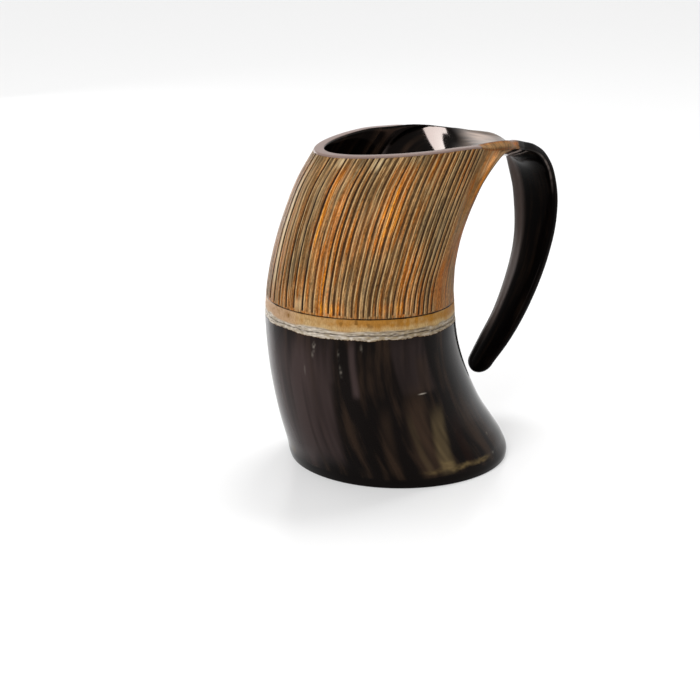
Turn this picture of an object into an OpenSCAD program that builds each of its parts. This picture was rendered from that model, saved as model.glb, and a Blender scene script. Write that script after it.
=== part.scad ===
/* [Body] */
// Height of the rim above the table
body_h = 150; // [120:1:180]
// Width of the round foot
foot_w = 104; // [96:1:115]
// Width of the waist, the narrowest round part of the body
waist_w = 87.6; // [78:0.2:92]
// Length of the mouth, from the back toward the handle
mouth_l = 103; // [94:1:108]
// Width of the mouth, across the handle's plane
mouth_w = 65; // [60:1:76]
// How far the waist leans back, away from the handle
waist_lean = 24.3; // [16:0.1:28]
// How far the middle of the mouth comes forward of the foot's middle
mouth_reach = 5.5; // [2:0.5:9]
// Thickness of the horn wall
wall_t = 4.5; // [3:0.1:5.5]
// Rounding of the rim's edges
rim_r = 1; // [0.4:0.1:1.4]

/* [Handle] */
// Distance from the foot's middle to the plane where the handle leaves the mouth
root_x = 46; // [44:0.5:48]
// Height of the handle's underside in that plane, at its middle
root_z = 134; // [128:0.5:138]
// Width of the strip in that plane
root_w = 55; // [48:1:58]
// How much higher the strip's edges lie than its middle in that plane
root_dish = 9.8; // [6:0.1:12]
// How far the handle reaches out from that plane, measured on its inner face
handle_reach = 44.3; // [36:0.5:56]
// How far the tip comes down below the handle's root
handle_drop = 102; // [80:1:108]
// Width of the handle at its bend
bend_w = 22.8; // [18:0.2:30]
// Width of the handle next to its tip
tip_w = 11.2; // [7:0.2:14]
// Thickness of the handle at its bend
bend_t = 4.9; // [3:0.1:6]
// Thickness of the handle where the hand grips it
grip_t = 6; // [4.5:0.1:8]

/* [Base] */
// Thickness of the base disc
disc_t = 5; // [3:0.5:8]
// Thickness of the horn wall round the disc, at the table
foot_wall_t = 5.5; // [4.5:0.5:7]
// How far the disc's edge slopes inward over its thickness
disc_taper = 1; // [0.2:0.1:1.5]
// Width and height of the bead that seals the disc
bead_w = 2.5; // [1.5:0.5:4]
// Thickness of the bead's two thin edges
bead_edge_t = 0.3; // [0.2:0.1:0.6]
// Glue gap round the disc and its bead
glue_gap = 0.15; // [0.1:0.05:0.3]

/* [Hidden] */

horn_colour = "#5a3d1c";
handle_colour = "#1c1614";
disc_colour = "#15110f";
bead_colour = "#2a211a";

// Columns round the body, rows of each face of its wall below and above the turn
column_count = 72;
lower_row_count = 11;
upper_row_count = 12;
// Rows along the handle, up to its rounded tip and in it
handle_row_count = 28;
tip_row_count = 5;
round_facets = 96;

// Half angles, seen from the body's middle, of the handle's root and of the zone that flows into it
root_angle = 45;
flow_angle = 65;
// Half angle at which the rim's outer edge starts to dip
dip_angle = 90;
// Height share at which the wall starts to turn out toward the handle
turn_share = 0.66;
// How firmly the wall holds its way before and after the turn
pull_share = 1.4;
// Share of the height over which the wall's lean is read, and the step over which a way is read
lean_step = 0.02;
way_step = 0.01;
// How far the rim's outer edge dips, where it starts to flow into the handle's cut edge
edge_dip = 0.8;
// Share of the seat's height in which the round seat fades into the horn's own bore
fade_share = 1.2;
// Rows of the rounded rim, as shares of the wall's thickness
rim_shares = [0.2, 0.8];
// Heights of the rows that round the foot's edge, as shares of the body's height
foot_edge_shares = [0, 0.004, 0.012];
// Where the handle's tip starts to round off, and the share of its width left at the very end
tip_share = 0.965;
tip_end_share = 0.15;

// Height, lean of the waist, reach of the mouth, length and width shares of the foot, then of the mouth
body_shares = [
    [0.000, -0.03, 0.000, 0.95, 0.95, 0.00, 0.00],
    [0.012, -0.02, 0.000, 1.00, 1.00, 0.00, 0.00],
    [0.053, 0.07, 0.000, 0.98, 0.88, 0.00, 0.00],
    [0.107, 0.25, 0.000, 0.86, 0.60, 0.00, 0.00],
    [0.160, 0.43, 0.000, 0.68, 0.38, 0.00, 0.00],
    [0.243, 0.65, 0.000, 0.43, 0.22, 0.00, 0.00],
    [0.347, 0.86, 0.000, 0.17, 0.08, 0.00, 0.00],
    [0.507, 1.00, 0.000, -0.06, 0.00, 0.00, 0.02],
    [0.610, 0.99, 0.020, 0.00, 0.00, -0.06, 0.20],
    [0.713, 0.87, 0.145, 0.00, 0.00, 0.10, 0.39],
    [0.813, 0.655, 0.350, 0.00, 0.00, 0.42, 0.60],
    [0.913, 0.355, 0.650, 0.00, 0.00, 0.80, 0.81],
    [1.000, 0.00, 1.000, 0.00, 0.00, 1.00, 1.00]
];
// How much the mouth narrows toward its back and widens toward the handle
egg_share = 0.18;

// Place along the handle, reach, drop, width shares of root and tip,
// dish share, thickness shares of wall and grip, thickness share left at the edges
handle_shares = [
    [0.00, 0.000, 0.000, 1.000, 0.00, 1.00, 1.00, 0.00, 1.00],
    [0.05, 0.158, -0.010, 0.725, 0.00, 0.74, 1.00, 0.00, 1.00],
    [0.11, 0.350, -0.003, 0.555, 0.00, 0.57, 0.95, 0.00, 0.98],
    [0.18, 0.564, 0.016, 0.375, 0.00, 0.47, 0.85, 0.00, 0.95],
    [0.24, 0.745, 0.048, 0.215, 0.00, 0.335, 0.50, 0.00, 0.92],
    [0.29, 0.880, 0.101, 0.130, 0.00, 0.19, 0.15, 0.00, 0.90],
    [0.34, 0.965, 0.170, 0.080, 0.00, 0.08, 0.00, 0.03, 0.88],
    [0.39, 1.000, 0.238, 0.055, 0.00, 0.07, 0.00, 0.20, 0.85],
    [0.46, 1.000, 0.334, 0.030, 0.03, 0.09, 0.00, 0.55, 0.82],
    [0.59, 0.930, 0.496, 0.000, 0.19, 0.13, 0.00, 0.85, 0.78],
    [0.70, 0.800, 0.630, 0.000, 0.33, 0.12, 0.00, 1.00, 0.74],
    [0.81, 0.598, 0.775, 0.000, 0.48, 0.11, 0.00, 0.95, 0.70],
    [0.90, 0.384, 0.893, 0.000, 0.64, 0.10, 0.00, 0.80, 0.64],
    [0.965, 0.190, 0.985, 0.000, 0.90, 0.10, 0.00, 0.50, 0.60],
    [1.00, 0.100, 1.035, 0.000, 1.00, 0.08, 0.00, 0.35, 0.60]
];

seat_r = foot_w / 2 - foot_wall_t;
seat_h = disc_t + bead_w;
seat_taper = disc_taper / disc_t;

function mix(a, b, t) = a + (b - a) * t;
function ease(t) = let (c = min(max(t, 0), 1)) c * c * (3 - 2 * c);
function unit(v) = v / norm(v);

// Smooth curve through one column of a table, at place x of its first column
function row_before(table, x, i = 0) =
    i >= len(table) - 2 || table[i + 1][0] > x ? i : row_before(table, x, i + 1);
function step_slope(table, i, col) =
    (table[i + 1][col] - table[i][col]) / (table[i + 1][0] - table[i][0]);
function row_slope(table, i, col) =
    i == 0 ? step_slope(table, 0, col) :
    i == len(table) - 1 ? step_slope(table, i - 1, col) :
    let (
        before = table[i][0] - table[i - 1][0],
        after = table[i + 1][0] - table[i][0]
    )
    (step_slope(table, i - 1, col) * after + step_slope(table, i, col) * before) / (before + after);
function curve(a, b, slope_a, slope_b, t) =
    a * (1 + 2 * t) * (1 - t) * (1 - t) + slope_a * t * (1 - t) * (1 - t)
    + b * t * t * (3 - 2 * t) - slope_b * t * t * (1 - t);
function at(table, x, col) =
    let (
        i = row_before(table, x),
        span = table[i + 1][0] - table[i][0]
    )
    curve(
        table[i][col],
        table[i + 1][col],
        row_slope(table, i, col) * span,
        row_slope(table, i + 1, col) * span,
        (x - table[i][0]) / span
    );

// Level sections of the horn: middle, half length and half width at a share of the height
function middle_x(h) = mouth_reach * at(body_shares, h, 2) - waist_lean * at(body_shares, h, 1);
function half_l(h) =
    (waist_w + (foot_w - waist_w) * at(body_shares, h, 3) + (mouth_l - waist_w) * at(body_shares, h, 5)) / 2;
function half_w(h) =
    (waist_w + (foot_w - waist_w) * at(body_shares, h, 4) + (mouth_w - waist_w) * at(body_shares, h, 6)) / 2;
// A leaning wall is thicker when it is measured level
function level_wall(h) =
    let (
        low = max(h - lean_step, 0),
        high = min(h + lean_step, 1),
        lean = (middle_x(high) - middle_x(low)) / ((high - low) * body_h)
    )
    wall_t * sqrt(1 + lean * lean);
function egg(angle, h) = 1 + egg_share * at(body_shares, h, 6) * cos(angle);
function outer_level(angle, h) = [
    middle_x(h) + half_l(h) * cos(angle),
    half_w(h) * sin(angle) * egg(angle, h),
    h * body_h
];
function bore_level(angle, h) = [
    middle_x(h) + (half_l(h) - level_wall(h)) * cos(angle),
    (half_w(h) - wall_t) * sin(angle) * egg(angle, h),
    h * body_h
];
function seat_level(angle, h) =
    let (r = seat_r - seat_taper * h * body_h)
    [r * cos(angle), r * sin(angle), h * body_h];
function inner_level(angle, h) =
    mix(
        seat_level(angle, h),
        bore_level(angle, h),
        ease((h * body_h - seat_h) / (seat_h * fade_share))
    );

// The handle's inner face line, and the direction across its thickness
function spine(s) = [
    root_x + handle_reach * at(handle_shares, s, 1),
    0,
    root_z - handle_drop * at(handle_shares, s, 2)
];
function spine_way(s) =
    let (low = max(s - way_step, 0), high = min(s + way_step, 1))
    unit(spine(high) - spine(low));
function across(s) =
    let (way = spine_way(s), angle = max(atan2(-way[2], way[0]), 0))
    [sin(angle), 0, cos(angle)];
function blend_of(first, middle, last, first_share, last_share) =
    middle + (first - middle) * first_share + (last - middle) * last_share;
function tip_round(s) =
    let (q = max(s - tip_share, 0) / (1 - tip_share))
    max(sqrt(1 - min(q * q, 1)), tip_end_share);
function strip_half_w(s) =
    tip_round(s) * blend_of(root_w, bend_w, tip_w, at(handle_shares, s, 3), at(handle_shares, s, 4)) / 2;
// A strip that is cut narrower keeps less of its dish
function strip_dish(s) = root_dish * at(handle_shares, s, 5) * pow(tip_round(s), 2);
function strip_t(s) =
    blend_of(wall_t, bend_t, grip_t, at(handle_shares, s, 6), at(handle_shares, s, 7));
// Points on the strip's two faces; side runs from -1 at one edge to 1 at the other
function strip_point(s, side, face) =
    let (
        half = strip_half_w(s),
        dish = strip_dish(s),
        slope = 2 * dish * side / half,
        edge_loss = (1 - at(handle_shares, s, 8)) * pow(side, 4) / 2,
        depth_share = (1 + (face == 0 ? -1 : 1) * tip_round(s) * (1 - 2 * edge_loss)) / 2,
        depth = strip_t(s) * depth_share / sqrt(1 + slope * slope)
    )
    spine(s)
    + across(s) * (dish * side * side + depth)
    + [0, half * side - depth * slope, 0];
function strip_way(s, side, face) =
    unit(strip_point(s + way_step, side, face) - strip_point(s, side, face));

// Above the turn, the wall within the flow angle bends out to the handle's root
function top_share(angle) =
    1 - rim_r / body_h - edge_dip / body_h * ease((dip_angle - abs(angle)) / (dip_angle - flow_angle));
function root_end(angle, face) =
    let (
        side = min(max(angle / root_angle, -1), 1),
        past = (abs(angle) - root_angle) / root_angle,
        way = strip_way(0, side, face)
    )
    past > 0 ? strip_point(0, side, face) - way * root_w / 2 * past : strip_point(0, side, face);
function level_point(angle, h, face) = face == 0 ? outer_level(angle, h) : inner_level(angle, h);
function flow_share(angle) = 1 - ease((abs(angle) - root_angle) / (flow_angle - root_angle));
function upper_point(angle, t, face) =
    let (
        top = top_share(angle),
        level = level_point(angle, mix(turn_share, top, t), face),
        share = flow_share(angle)
    )
    share == 0 ? level :
    let (
        start = level_point(angle, turn_share, face),
        start_way = unit(level_point(angle, turn_share + way_step, face) - start),
        end = root_end(angle, face),
        end_way = strip_way(0, min(max(angle / root_angle, -1), 1), face),
        reach = norm(end - start) * pull_share
    )
    mix(level, curve(start, end, start_way * reach, end_way * reach, t), share);
function rim_point(angle, share) =
    let (
        outer = upper_point(angle, 1, 0),
        inner = upper_point(angle, 1, 1),
        lift = rim_r * (1 - flow_share(angle))
    )
    mix(outer, inner, share) + [0, 0, lift];

angles = [for (i = [0 : column_count - 1]) i * 360 / column_count - 180];
lower_rows = concat(
    foot_edge_shares,
    [disc_t / body_h],
    [for (i = [0 : lower_row_count - 1]) mix(seat_h / body_h, turn_share, i / lower_row_count)]
);
upper_rows = [for (i = [0 : upper_row_count]) i / upper_row_count];
body_rings = concat(
    [for (h = lower_rows) [for (a = angles) outer_level(a, h)]],
    [for (t = upper_rows) [for (a = angles) upper_point(a, t, 0)]],
    [for (share = rim_shares) [for (a = angles) rim_point(a, share)]],
    [for (i = [upper_row_count : -1 : 0]) [for (a = angles) upper_point(a, upper_rows[i], 1)]],
    [for (i = [len(lower_rows) - 1 : -1 : 0]) [for (a = angles) inner_level(a, lower_rows[i])]]
);

// Two triangles for each four-sided cell of a closed grid of rings
function cell(a, b, c, d) = [[a, b, c], [a, c, d]];
function grid_cells(ring_count, point_count, closed) = [
    for (r = [0 : ring_count - (closed ? 1 : 2)], p = [0 : point_count - 1])
    let (
        next_r = (r + 1) % ring_count,
        next_p = (p + 1) % point_count
    )
    each cell(
        r * point_count + p,
        next_r * point_count + p,
        next_r * point_count + next_p,
        r * point_count + next_p
    )
];

root_columns = 2 * root_angle * column_count / 360;
sides = [for (i = [0 : root_columns]) 2 * i / root_columns - 1];
handle_rows = concat(
    [for (i = [0 : handle_row_count - 1]) tip_share * i / handle_row_count],
    [for (i = [0 : tip_row_count]) mix(tip_share, 1, sin(90 * i / tip_row_count))]
);
handle_rings = [
    for (s = handle_rows)
    concat(
        [for (side = sides) strip_point(s, side, 0)],
        [for (k = [root_columns : -1 : 0]) strip_point(s, sides[k], 1)]
    )
];

// Flat ends of the handle, between the two faces of its first and last ring
function end_cells(first, flip) =
    let (point_count = 2 * (root_columns + 1))
    [
        for (k = [0 : root_columns - 1])
        let (
            a = first + k,
            b = first + k + 1,
            c = first + point_count - 2 - k,
            d = first + point_count - 1 - k
        )
        each flip ? cell(d, c, b, a) : cell(a, b, c, d)
    ];

module horn_body() {
    color(horn_colour)
    polyhedron(
        points = [for (ring = body_rings) each ring],
        faces = grid_cells(len(body_rings), column_count, true)
    );
}

module handle() {
    color(handle_colour)
    polyhedron(
        points = [for (ring = handle_rings) each ring],
        faces = concat(
            grid_cells(len(handle_rings), len(handle_rings[0]), false),
            end_cells(0, false),
            end_cells((len(handle_rings) - 1) * len(handle_rings[0]), true)
        )
    );
}

// The disc is a tapered plug, pressed up into the foot and flush with its edge
module base_disc() {
    color(disc_colour)
    cylinder(
        h = disc_t,
        r1 = seat_r - glue_gap,
        r2 = seat_r - disc_taper - glue_gap,
        $fn = round_facets
    );
}

// A ring of resin with a hollow face, in the corner between the disc and the wall
module seal_bead() {
    foot_r = seat_r - disc_taper - glue_gap;
    top_r = foot_r - seat_taper * bead_w;
    color(bead_colour)
    translate([0, 0, disc_t])
    rotate_extrude($fn = round_facets)
    difference() {
        polygon([
            [top_r - bead_w, 0],
            [foot_r, 0],
            [top_r, bead_w],
            [top_r - bead_w, bead_w]
        ]);
        translate([top_r - bead_w, bead_w])
        circle(r = bead_w - bead_edge_t, $fn = round_facets);
    }
}

horn_body();
handle();
base_disc();
seal_bead();
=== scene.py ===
import math

import bpy
import numpy as np
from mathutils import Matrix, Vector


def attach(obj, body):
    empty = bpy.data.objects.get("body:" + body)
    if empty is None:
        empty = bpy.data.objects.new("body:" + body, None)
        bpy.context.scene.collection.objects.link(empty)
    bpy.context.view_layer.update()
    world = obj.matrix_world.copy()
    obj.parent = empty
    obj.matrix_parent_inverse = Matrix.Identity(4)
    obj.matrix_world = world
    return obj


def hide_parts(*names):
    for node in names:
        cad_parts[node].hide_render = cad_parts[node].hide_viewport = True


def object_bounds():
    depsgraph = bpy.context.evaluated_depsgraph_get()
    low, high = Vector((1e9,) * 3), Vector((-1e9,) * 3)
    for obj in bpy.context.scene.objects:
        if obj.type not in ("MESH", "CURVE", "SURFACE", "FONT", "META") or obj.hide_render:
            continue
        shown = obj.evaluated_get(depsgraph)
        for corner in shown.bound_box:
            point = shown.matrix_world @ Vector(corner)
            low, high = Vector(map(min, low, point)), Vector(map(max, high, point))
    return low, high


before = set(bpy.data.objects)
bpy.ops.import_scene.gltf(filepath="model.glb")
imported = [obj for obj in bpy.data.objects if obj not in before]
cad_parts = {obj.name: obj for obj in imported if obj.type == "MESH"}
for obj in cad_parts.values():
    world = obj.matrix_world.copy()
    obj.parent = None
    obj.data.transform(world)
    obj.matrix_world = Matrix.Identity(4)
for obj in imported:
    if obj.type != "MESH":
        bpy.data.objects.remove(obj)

cadLow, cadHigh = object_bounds()
millimetre = 0.001
lineKnots, fieldKnots = 1024, 256      # random values before a line or a field of noise repeats


def linearColor(code):
    # sRGB hex to the linear colour that a shader wants
    parts = [int(code[i:i + 2], 16) / 255 for i in (1, 3, 5)]
    return [p / 12.92 if p <= 0.04045 else ((p + 0.055) / 1.055) ** 2.4 for p in parts] + [1]


def mix(a, b, t):
    return a + (b - a) * t


def ease(t):
    held = np.clip(t, 0, 1)
    return held * held * (3 - 2 * held)


def bump(x, middle, halfWidth):
    # smooth hill, 1 at the middle and 0 past the half width
    return ease(1 - np.abs(x - middle) / halfWidth)


def unitVectors(v):
    return v / np.maximum(np.linalg.norm(v, axis=-1, keepdims=True), 1e-9)


def stacked(*parts):
    return np.stack(np.broadcast_arrays(*parts), -1)


def curveAt(table, x, column):
    # smooth curve through one column of a table, at place x of its first column
    places, values = table[:, 0], table[:, column]
    spans = np.diff(places)
    steps = np.diff(values) / spans
    slopes = np.empty(len(places))
    slopes[0], slopes[-1] = steps[0], steps[-1]
    slopes[1:-1] = (steps[:-1] * spans[1:] + steps[1:] * spans[:-1]) / (spans[:-1] + spans[1:])
    x = np.asarray(x, float)
    i = np.clip(np.searchsorted(places, x, side="right") - 1, 0, len(places) - 2)
    span = spans[i]
    t = (x - places[i]) / span
    return (values[i] * (1 + 2 * t) * (1 - t) ** 2 + slopes[i] * span * t * (1 - t) ** 2
            + values[i + 1] * t * t * (3 - 2 * t) - slopes[i + 1] * span * t * t * (1 - t))


def lineNoise(name, x):
    # smooth random line: layers with one knot per spacing, added up
    total = 0
    for spacing, seed, strength in lineNoises[name]:
        knots = np.random.default_rng(seed).uniform(-1, 1, lineKnots)
        place = np.asarray(x, float) / spacing
        low = np.floor(place).astype(int)
        total = total + strength * mix(knots[low % lineKnots], knots[(low + 1) % lineKnots], ease(place - low))
    return total


def fieldNoise(name, x, y):
    # smooth random field: layers in cells of their own width and height, added up
    total = 0
    for wide, tall, seed, strength in fieldNoises[name]:
        knots = np.random.default_rng(seed).uniform(-1, 1, (fieldKnots, fieldKnots))
        i, j = np.floor(x / wide).astype(int), np.floor(y / tall).astype(int)
        left, right, under, over = (k % fieldKnots for k in (i, i + 1, j, j + 1))
        u, v = ease(x / wide - i), ease(y / tall - j)
        total = total + strength * mix(mix(knots[left, under], knots[right, under], u),
                                       mix(knots[left, over], knots[right, over], u), v)
    return total


# The horn's form, in millimetres and degrees: the same sizes and tables as the part's source
horn = {
    "bodyHeight": 150.0, "footWidth": 104.0, "waistWidth": 87.6,
    "mouthLength": 103.0, "mouthWidth": 65.0, "waistLean": 24.3, "mouthReach": 5.5,
    "wall": 4.5, "footWall": 5.5, "rimRound": 1.0,
    "rootX": 46.0, "rootZ": 134.0, "rootWidth": 55.0, "rootDish": 9.8,
    "handleReach": 44.3, "handleDrop": 102.0, "bendWidth": 22.8, "tipWidth": 11.2,
    "bendThickness": 4.9, "gripThickness": 6.0,
    "discThickness": 5.0, "discTaper": 1.0, "beadWidth": 2.5,
    "rootAngle": 45.0, "flowAngle": 65.0, "dipAngle": 90.0,
    "turnShare": 0.66, "pullShare": 1.4, "edgeDip": 0.8, "fadeShare": 1.2, "eggShare": 0.18,
    "tipShare": 0.965, "tipEndShare": 0.06, "leanStep": 0.02, "wayStep": 0.01,
}
# height, lean of the waist, reach of the mouth, foot's length and width, mouth's length and width, all as shares
bodyShares = np.array([
    [0.000, -0.03, 0.000, 0.95, 0.95, 0.00, 0.00],
    [0.012, -0.02, 0.000, 1.00, 1.00, 0.00, 0.00],
    [0.053, 0.07, 0.000, 0.98, 0.88, 0.00, 0.00],
    [0.107, 0.25, 0.000, 0.86, 0.60, 0.00, 0.00],
    [0.160, 0.43, 0.000, 0.68, 0.38, 0.00, 0.00],
    [0.243, 0.65, 0.000, 0.43, 0.22, 0.00, 0.00],
    [0.347, 0.86, 0.000, 0.17, 0.08, 0.00, 0.00],
    [0.507, 1.00, 0.000, -0.06, 0.00, 0.00, 0.02],
    [0.610, 0.99, 0.020, 0.00, 0.00, -0.06, 0.20],
    [0.713, 0.87, 0.145, 0.00, 0.00, 0.10, 0.39],
    [0.813, 0.655, 0.350, 0.00, 0.00, 0.42, 0.60],
    [0.913, 0.355, 0.650, 0.00, 0.00, 0.80, 0.81],
    [1.000, 0.00, 1.000, 0.00, 0.00, 1.00, 1.00],
])
# way along the strip, its reach and drop, root's and tip's width, dish, wall's and grip's thickness, edge's share
handleShares = np.array([
    [0.00, 0.000, 0.000, 1.000, 0.00, 1.00, 1.00, 0.00, 1.00],
    [0.05, 0.158, -0.010, 0.725, 0.00, 0.74, 1.00, 0.00, 1.00],
    [0.11, 0.350, -0.003, 0.555, 0.00, 0.57, 0.95, 0.00, 0.98],
    [0.18, 0.564, 0.016, 0.375, 0.00, 0.47, 0.85, 0.00, 0.95],
    [0.24, 0.745, 0.048, 0.215, 0.00, 0.335, 0.50, 0.00, 0.92],
    [0.29, 0.880, 0.101, 0.130, 0.00, 0.19, 0.15, 0.00, 0.90],
    [0.34, 0.965, 0.170, 0.080, 0.00, 0.08, 0.00, 0.03, 0.88],
    [0.39, 1.000, 0.238, 0.055, 0.00, 0.07, 0.00, 0.20, 0.85],
    [0.46, 1.000, 0.334, 0.030, 0.03, 0.09, 0.00, 0.55, 0.82],
    [0.59, 0.930, 0.496, 0.000, 0.19, 0.13, 0.00, 0.85, 0.78],
    [0.70, 0.800, 0.630, 0.000, 0.33, 0.12, 0.00, 1.00, 0.74],
    [0.81, 0.598, 0.775, 0.000, 0.48, 0.11, 0.00, 0.95, 0.70],
    [0.90, 0.384, 0.893, 0.000, 0.64, 0.10, 0.00, 0.80, 0.64],
    [0.965, 0.190, 0.985, 0.000, 0.90, 0.10, 0.00, 0.50, 0.60],
    [1.00, 0.100, 1.035, 0.000, 1.00, 0.08, 0.00, 0.35, 0.60],
])


def middleX(h):
    return horn["mouthReach"] * curveAt(bodyShares, h, 2) - horn["waistLean"] * curveAt(bodyShares, h, 1)


def halfAcross(h, mouthSize, footColumn, mouthColumn):
    waist = horn["waistWidth"]
    foot = (horn["footWidth"] - waist) * curveAt(bodyShares, h, footColumn)
    return (waist + foot + (horn[mouthSize] - waist) * curveAt(bodyShares, h, mouthColumn)) / 2


def levelWall(h):
    # a leaning wall is thicker when it is measured level
    low, high = np.maximum(h - horn["leanStep"], 0), np.minimum(h + horn["leanStep"], 1)
    lean = (middleX(high) - middleX(low)) / ((high - low) * horn["bodyHeight"])
    return horn["wall"] * np.sqrt(1 + lean ** 2)


def levelPoint(angle, h, inside):
    a = np.radians(angle)
    z = h * horn["bodyHeight"]
    egg = 1 + horn["eggShare"] * curveAt(bodyShares, h, 6) * np.cos(a)
    halfLength, halfWidth = halfAcross(h, "mouthLength", 3, 5), halfAcross(h, "mouthWidth", 4, 6)
    if not inside:
        return stacked(middleX(h) + halfLength * np.cos(a), halfWidth * np.sin(a) * egg, z)
    bore = stacked(middleX(h) + (halfLength - levelWall(h)) * np.cos(a),
                   (halfWidth - horn["wall"]) * np.sin(a) * egg, z)
    seatRadius = horn["footWidth"] / 2 - horn["footWall"] - horn["discTaper"] / horn["discThickness"] * z
    seat = stacked(seatRadius * np.cos(a), seatRadius * np.sin(a), z)
    seatHeight = horn["discThickness"] + horn["beadWidth"]
    return mix(seat, bore, ease((z - seatHeight) / (seatHeight * horn["fadeShare"]))[..., None])


def spine(s):
    return stacked(horn["rootX"] + horn["handleReach"] * curveAt(handleShares, s, 1), 0.0,
                   horn["rootZ"] - horn["handleDrop"] * curveAt(handleShares, s, 2))


def across(s):
    low, high = np.maximum(s - horn["wayStep"], 0), np.minimum(s + horn["wayStep"], 1)
    way = unitVectors(spine(high) - spine(low))
    turn = np.maximum(np.arctan2(-way[..., 2], way[..., 0]), 0)
    return stacked(np.sin(turn), 0.0, np.cos(turn))


def tipRound(s):
    past = np.maximum(s - horn["tipShare"], 0) / (1 - horn["tipShare"])
    return np.maximum(np.sqrt(1 - np.minimum(past * past, 1)), horn["tipEndShare"])


def stripHalfWidth(s):
    bend = horn["bendWidth"]
    root = (horn["rootWidth"] - bend) * curveAt(handleShares, s, 3)
    tip = (horn["tipWidth"] - bend) * curveAt(handleShares, s, 4)
    return tipRound(s) * (bend + root + tip) / 2


def stripThickness(s):
    bend = horn["bendThickness"]
    return (bend + (horn["wall"] - bend) * curveAt(handleShares, s, 6)
            + (horn["gripThickness"] - bend) * curveAt(handleShares, s, 7))


# How the hand-bent strip's far side departs from an even one, as place along it and millimetres:
# it stands up, it is wider, and its under face rounds off outward
farRise = np.array([[0, 0], [0.08, 0.02], [0.17, 0.6], [0.23, 2.8], [0.27, 5.2], [0.31, 6.3], [0.36, 5.4],
                    [0.42, 3.2], [0.49, 1.2], [0.57, 0], [1, 0]])
farWide = np.array([[0, 0], [0.06, 0.2], [0.14, 1.3], [0.22, 3.1], [0.29, 4.7], [0.34, 4.3], [0.40, 2.4],
                    [0.47, 1.1], [0.6, 0.4], [0.8, 0], [1, 0]])
farRound = np.array([[0, 0], [0.18, 0], [0.28, 1.4], [0.36, 2.0], [0.46, 1.9], [0.7, 1.6], [0.9, 0.8], [1, 0]])


def stripPoint(s, side, inside):
    # a point on one face of the strip; side runs from -1 at the near edge to 1 at the far edge
    s, side = np.broadcast_arrays(np.asarray(s, float), np.asarray(side, float))
    half = stripHalfWidth(s)
    dish = horn["rootDish"] * curveAt(handleShares, s, 5) * tipRound(s) ** 2
    slope = 2 * dish * side / half
    edgeLoss = (1 - curveAt(handleShares, s, 8)) * side ** 4 / 2
    face = 1 if inside else -1
    share = (1 + face * tipRound(s) * (1 - 2 * edgeLoss)) / 2
    depth = stripThickness(s) * share / np.sqrt(1 + slope ** 2)
    farShare = ((1 + side) / 2) ** 2
    rise, wide, rounded = (curveAt(table, s, 1) * farShare for table in (farRise, farWide, farRound))
    if inside:
        rounded = 0
    return (spine(s) + across(s) * (dish * side ** 2 + rounded + depth)[..., None]
            + stacked(0 * s, half * side - depth * slope + wide, rise))


# How the rim and the strip's edges are finished: millimetres and degrees, and places along the strip as shares
edge = {
    "rimFlat": 1.0,            # how far the rim's rounding rises over the wall
    "rimCorner": 0.9,          # width of the rounding on each side of the rim's flat top
    "chamferDip": 2.9,         # how much lower the outer edge is cut beside the strip's root
    "chamferInside": 0.15,     # and how much of that the inner edge dips
    "chamferWidth": 3.0,       # width of the cut there
    "chamferInner": 0.6,       # what is left of the inner rounding beside it
    "chamferMost": 0.6,        # and how much of the wall it may take
    "chamferCrown": 0.8,       # how far that cut face is left crowned
    "chamferAngle": 55.0, "chamferSpread": 22.0, "farChamfer": 0.1,
    "chamferEnd": 0.03, "chamferFade": 0.12,
    # the strip's edges: how far in and how deep each rounding reaches, on the near side and the far side
    "nearIn": 1.3, "nearUnder": 1.3, "nearUpper": 1.5,
    "farIn": 3.8, "farUnder": 3.6, "farUpper": 1.4,
    "insetFrom": 0.05, "insetOver": 0.3, "insetMost": 0.5,
    "nearExtra": 1.1, "farExtra": 4.0,     # the hand-rounded edges stand this much fuller than the solid's
    "slimFrom": 0.6, "slimOver": 0.35, "slimTo": 0.5,      # the far one slims toward the tip
    "outFrom": 0.8, "outOver": 0.12,       # from here to the tip the edges face straight out to the side
    "tipOut": 0.3,                         # how far the tip's middle stands out past its last row
    "rows": 13,
}


def chamferAt(angle):
    near = np.where(angle < 0, 1, edge["farChamfer"])
    return bump(np.abs(angle), edge["chamferAngle"], edge["chamferSpread"]) * near


def topShare(angle, inside):
    # the rim's outer edge dips where it starts to flow into the strip's cut edge
    dip = horn["edgeDip"] * ease((horn["dipAngle"] - np.abs(angle)) / (horn["dipAngle"] - horn["flowAngle"]))
    extra = edge["chamferDip"] * chamferAt(angle) * (edge["chamferInside"] if inside else 1)
    return 1 - (edge["rimFlat"] + dip + extra) / horn["bodyHeight"]


def stripWay(side, inside):
    zero = 0 * side
    return unitVectors(stripPoint(zero + horn["wayStep"], side, inside) - stripPoint(zero, side, inside))


def upperPoint(angle, t, inside):
    # above the turn, the wall within the flow angle bends out to the strip's root
    angle, t = np.broadcast_arrays(np.asarray(angle, float), np.asarray(t, float))
    turn = horn["turnShare"]
    level = levelPoint(angle, mix(turn, topShare(angle, inside), t), inside)
    start = levelPoint(angle, turn + 0 * angle, inside)
    startWay = unitVectors(levelPoint(angle, turn + horn["wayStep"] + 0 * angle, inside) - start)
    # the strip's flat faces stop short of its edges, to leave room for the rounding
    side = np.clip(angle / horn["rootAngle"], -1, 1) * (1 - edge["rimFlat"] / (horn["rootWidth"] / 2))
    past = np.maximum((np.abs(angle) - horn["rootAngle"]) / horn["rootAngle"], 0)
    endWay = stripWay(side, inside)
    end = stripPoint(0 * side, side, inside) - endWay * (horn["rootWidth"] / 2 * past)[..., None]
    reach = horn["pullShare"] * np.linalg.norm(end - start, axis=-1, keepdims=True)
    u = t[..., None]
    flow = (start * (1 + 2 * u) * (1 - u) ** 2 + startWay * reach * u * (1 - u) ** 2
            + end * u * u * (3 - 2 * u) - endWay * reach * u * u * (1 - u))
    share = 1 - ease((np.abs(angle) - horn["rootAngle"]) / (horn["flowAngle"] - horn["rootAngle"]))
    return mix(level, flow, share[..., None])


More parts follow.
